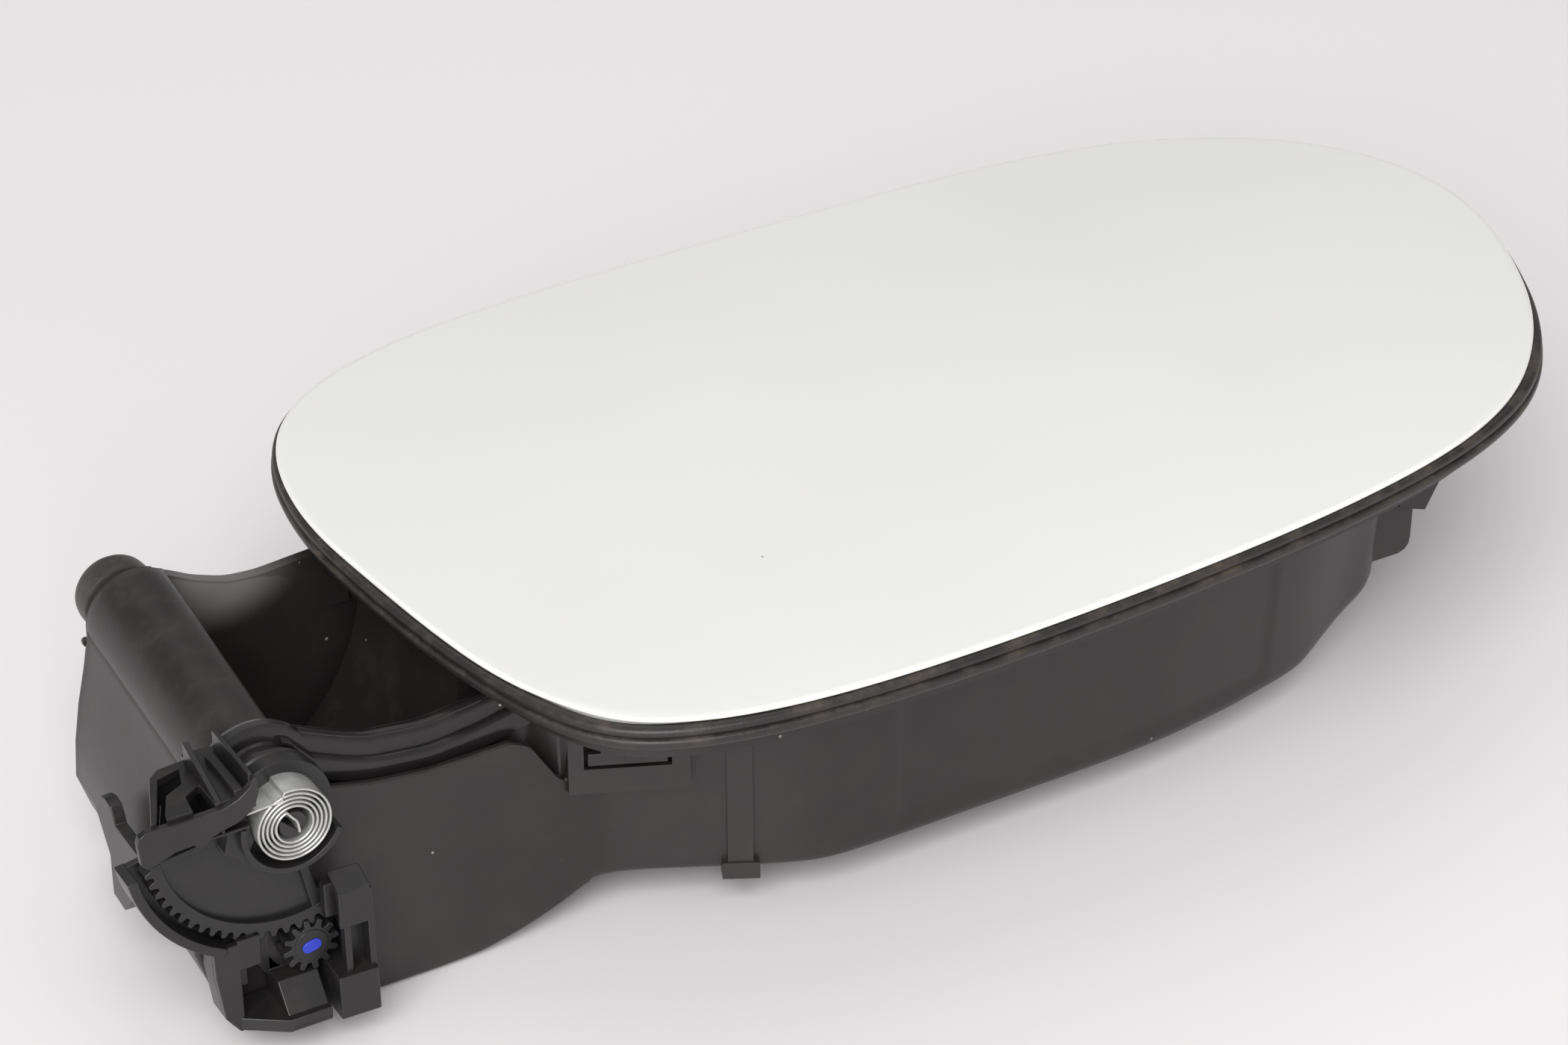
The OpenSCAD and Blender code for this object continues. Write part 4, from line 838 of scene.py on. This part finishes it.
def spring_bracket():
    """The bracket: a front frame, a top plate with two windows over a shallow box, two fins with a bar
    between them, and an ear."""
    front = [(-177.0, -10.3), (-177.3, -6.4), (-176.9, -5.2), (-175.9, -4.6), (-171.1, -4.8), (-163.2, -4.6),
             (-160.6, -3.6), (-158.7, -2.2), (-157.8, -0.6), (-157.2, -0.8), (-157.2, -3.4), (-157.8, -5.2),
             (-159.2, -6.9), (-161.1, -7.9), (-163.6, -8.5), (-165.4, -9.1), (-166.2, -10.3), (-167.6, -10.3),
             (-168.3, -9.5), (-171.5, -9.7), (-174.3, -10.8), (-176, -11.2)]
    parts = [across(front, -47.4, -45.9)]
    # The top plate in three forms, which leave its L-shaped window and its square one open
    for form in ([(-174.6, -46.3), (-173.6, -46.3), (-173.2, -45.6), (-169.0, -35.6), (-165.2, -34.5),
                  (-163.2, -34.2), (-163.0, -32.4), (-168.1, -33.0), (-170.1, -34.7)],
                 [(-172.0, -46.32), (-171.8, -45.2), (-169.6, -40.3), (-166.3, -38.5), (-165.1, -34.45),
                  (-163.1, -34.1), (-163.1, -46.32), (-164.1, -46.32), (-164.2, -40.3), (-167.0, -42.0),
                  (-167.6, -46.32)],
                 [(-163.2, -46.34), (-157.4, -46.34), (-157.4, -32.6), (-163.2, -32.6)]):
        parts.append(upright(form, -5.5, -4.0 + 0.03 * len(parts)))
    parts += [upright([(-173.9, -45.95), (-158.5, -45.95), (-158.5, -33.6), (-168.4, -33.9)], -10.6, -10.0),
              upright([(-174.6, -46.2), (-173.9, -46.2), (-168.4, -33.8), (-169.2, -33.6)], -10.3, -5.4),
              upright([(-169.1, -33.9), (-158.6, -33.9), (-158.6, -33.1), (-168.6, -33.1)], -10.25, -5.45),
              upright([(-163.2, -45.9), (-162.6, -45.9), (-162.6, -33.8), (-163.2, -33.8)], -10.2, -5.4)]
    fin = [(-158.5, -6.5), (-157.5, -6.5), (-157.5, -0.6), (-157.9, 0.0), (-158.5, -0.1)]
    wedge = [(-46.4, -3.9), (-34, 0.2), (-33.6, -0.4), (-33.6, -5.6), (-46.4, -5.6)]
    ear = [(-163, -4.6), (-157.5, -4.6), (-157.5, -8.4), (-159.4, -9.4), (-162.8, -9)]
    parts += [across(fin, -46.6, -32.4), sideways(wedge, -163.9, -162.9),
              block(-160.9, -159.3, -46.5, -34.8, -4.2, -2.5), across(ear, -34, -30)]
    piece("spring_bracket_form", parts, HOLDER, "frame", ["spring_bracket"], bevel=0.22,
          angle=35)


def damper_holder():
    """The holder: the guard round the teeth, the lower frame with its column, the clip frame at the right and
    the hooked bar beside the left wall."""
    guard = band((26.6, 190, 244, 50), (24.9, 244, 190, 50))
    back = band((26.4, 190.5, 268, 60), (17, 268, 190.5, 50))
    seat = arc(PINION, 8.6, 0, 354, 60)
    parts = [across(guard, -42.2, -36.2), across(back, -37.5, -36.15), across(seat, -38.1, -36.25)]
    # The front plate on both sides of its window, the side wall behind its left edge, and the sill
    left = [(-165.0, -34.6), (-164.9, -40.1), (-163.9, -48.3), (-161.6, -51.5), (-160.7, -51.5),
            (-160.7, -34.6)]
    right = [(-161.0, -34.0), (-161.0, -39.8), (-157.2, -39.6), (-157.0, -34.0)]
    side = [(-165.0, -34.7), (-164.9, -40.1), (-163.9, -48.3), (-161.6, -51.4), (-162.6, -48.2),
            (-163.5, -40.1), (-163.6, -34.7)]
    sill = [(-161.6, -41.8), (-154.9, -46.4), (-147.6, -46.4), (-147.6, -36.4), (-161.6, -36.4)]
    parts += [across(left, -41.9, -40.6), across(right, -41.9, -40.6), across(side, -40.7, -36.4),
              upright(sill, -51.3, -48.9)]
    # The column, whose front slants back as it rises, and two blocks beside it
    column = [(-46.55, -51.1), (-46.55, -50.6), (-41.5, -44.45), (-38.1, -44.4), (-38.1, -37.5),
              (-36.4, -37.5), (-36.4, -51.1)]
    parts += [sideways(column, -154.7, -147.7), block(-160.2, -158.8, -39.6, -38.1, -44.6, -38.6),
              block(-160.4, -152.4, -38.0, -36.3, -40.9, -35.9)]
    # The foot block, the clip frame's posts and the cross plate that slants back to its top edge
    foot = [(-146.3, -46.9), (-139.5, -47.1), (-138.9, -44.2), (-139.3, -36.45), (-146.3, -36.45)]
    plate = [[(x, -46.2, -34.9), (x, -46.25, z0), (x, -42.0, z1), (x, -41.9, z1 - 1.1), (x, -45.0, z0 - 1.2),
              (x, -45.2, -34.9)]
             for x, z0, z1 in ((-145.2, -28.2, -26.1), (-142.5, -28.0, -26.1), (-139.7, -27.6, -26.2))]
    parts += [upright(foot, -51.8, -43.7), block(-144.5, -143.3, -46.1, -44.2, -44.2, -30.2),
              block(-140.4, -139.3, -46.15, -42.2, -44.2, -28.6), loft(plate),
              block(-146.6, -144.3, -43.9, -42.1, -33.5, -27.2),
              block(-143.0, -139.5, -43.4, -36.5, -44.5, -35.6)]
    bar = [(-3.6, -27.2), (-5.0, -25.6), (-7.2, -24.9), (-9.2, -25.2), (-10.2, -26.6), (-10.8, -28.0),
           (-37, -28.2), (-37, -31.8), (-18.2, -32.2), (-16, -39.7), (-11.1, -44.7), (-6.3, -44.3),
           (-6.6, -36.2), (-2.6, -30.7), (-1.8, -29.4)]
    parts.append(sideways(bar, -168.3, -166.2))
    piece("damper_holder_form", parts, HOLDER, "frame", ["damper_holder"], bevel=0.22,
          angle=35)


def hinge_post():
    """The shaft: two round cheeks beside a slot in the spring's middle, and the rod behind them."""
    cheeks = [across(arc(HINGE, POST_R, a - 78, a + 78, 16), -46.0, -38.3) for a in (225, 45)]
    rod = turned([(0.05, -38.4), (3.1, -38.4), (3.1, 24), (0.05, 24)], HINGE)
    piece("hinge_post", [*cheeks, rod], DARK, "flap", ["hinge_shaft"], bevel=0.1, angle=35)


spiral_spring()
gear_sector()
damper_pinion()
blue_core()
damper_body()
spring_bracket()
damper_holder()
hinge_post()

# Floor, light and camera. The camera's angles, distance, focal length and aim are those that fit the
# photograph, whose width and focal length are in pixels
CAMERA_AZ, CAMERA_EL, CAMERA_ROLL = map(math.radians, (-29.6002, 31.0593, -0.5062))
CAMERA_FAR = 0.693551
AIM = RIM_ORIGIN + np.array([-51.421, -23.933, 0]) * 1e-3
PHOTO_WIDTH, PHOTO_FOCAL = 2100, 5560.454


def photo_camera():
    """The camera that the photograph's own edges give: its turn, height, roll, distance and focal length."""
    sa, ca, se, ce = math.sin(CAMERA_AZ), math.cos(CAMERA_AZ), math.sin(CAMERA_EL), math.cos(CAMERA_EL)
    back = Vector((sa * ce, -ca * ce, se))
    level = Vector((ca, sa, 0))
    steep = back.cross(level)
    sr, cr = math.sin(CAMERA_ROLL), math.cos(CAMERA_ROLL)
    right = level * cr + steep * sr
    up = -level * sr + steep * cr
    lens = bpy.data.cameras.new("photo_camera")
    lens.sensor_width = 36
    lens.lens = PHOTO_FOCAL * 36 / PHOTO_WIDTH
    lens.clip_start = 0.05
    lens.clip_end = 20
    camera = bpy.data.objects.new("photo_camera", lens)
    turn = Matrix((right, up, back)).transposed().to_4x4()
    camera.matrix_world = Matrix.Translation(Vector(AIM) + back * CAMERA_FAR) @ turn
    bpy.context.scene.collection.objects.link(camera)
    bpy.context.scene.camera = camera


def studio_floor():
    """A wide pale floor half a millimetre under the part, with a faint drift in its tone."""
    material, shader, n = new_material("studio_floor")
    drift = n.step(n.noise(n.add("ShaderNodeTexCoord").outputs["Object"], 2.0, 1.0), 0.3, 0.7)
    n.join(n.mix(drift, (0.815, 0.793, 0.799, 1), (0.835, 0.813, 0.819, 1)), shader["Base Color"])
    shader["Roughness"].default_value = 0.32
    half, z = 6.0, -0.0005
    mesh = bpy.data.meshes.new("studio_floor")
    mesh.from_pydata([(-half, -half, z), (half, -half, z), (half, half, z), (-half, half, z)], [],
                     [(0, 1, 2, 3)])
    mesh.materials.append(material)
    floor = bpy.data.objects.new("studio_floor", mesh)
    bpy.context.scene.collection.objects.link(floor)


def surround():
    """The world's light: bright near the horizon, dim above it at the back and brighter above it in front.
    ahead is the photo camera's direction on the level."""
    ahead = (0.494, 0.869, 0)
    world = bpy.data.worlds.new("studio")
    world.use_nodes = True
    n = Nodes(world.node_tree)
    aim = n.add("ShaderNodeTexCoord").outputs["Generated"]
    behind = n.vector("DOT_PRODUCT", {0: aim, 1: ahead}, 1)
    upper = n.step(behind, -0.3, 0.4, 0.5, 0.16)
    rise = n.step(n.add("ShaderNodeSeparateXYZ", {0: aim}).outputs[2], 0.05, 0.26)
    horizon = n.math("MULTIPLY", n.math("SUBTRACT", 1.0, rise), 0.85)
    sky = world.node_tree.nodes["Background"].inputs
    sky["Color"].default_value = (1.0, 0.985, 0.99, 1)
    n.join(n.math("ADD", n.math("MULTIPLY", rise, upper), horizon), sky["Strength"])
    bpy.context.scene.world = world


def area_light(name, place, size, power):
    """A square soft light that shines from its place at the part."""
    light = bpy.data.lights.new(name, "AREA")
    light.shape = "SQUARE"
    light.size = size
    light.energy = power
    lamp = bpy.data.objects.new(name, light)
    lamp.location = place
    lamp.rotation_mode = "QUATERNION"
    lamp.rotation_quaternion = (Vector((0, 0, 0.03)) - Vector(place)).to_track_quat("-Z", "Y")
    bpy.context.scene.collection.objects.link(lamp)


photo_camera()
studio_floor()
surround()
area_light("key", (-2.0, -2.6, 2.7), 3.2, 205.0)
area_light("top", (0.3, 0.6, 1.8), 2.0, 8.0)
bpy.context.scene.view_settings.view_transform = "Standard"
bpy.context.scene.view_settings.look = "None"
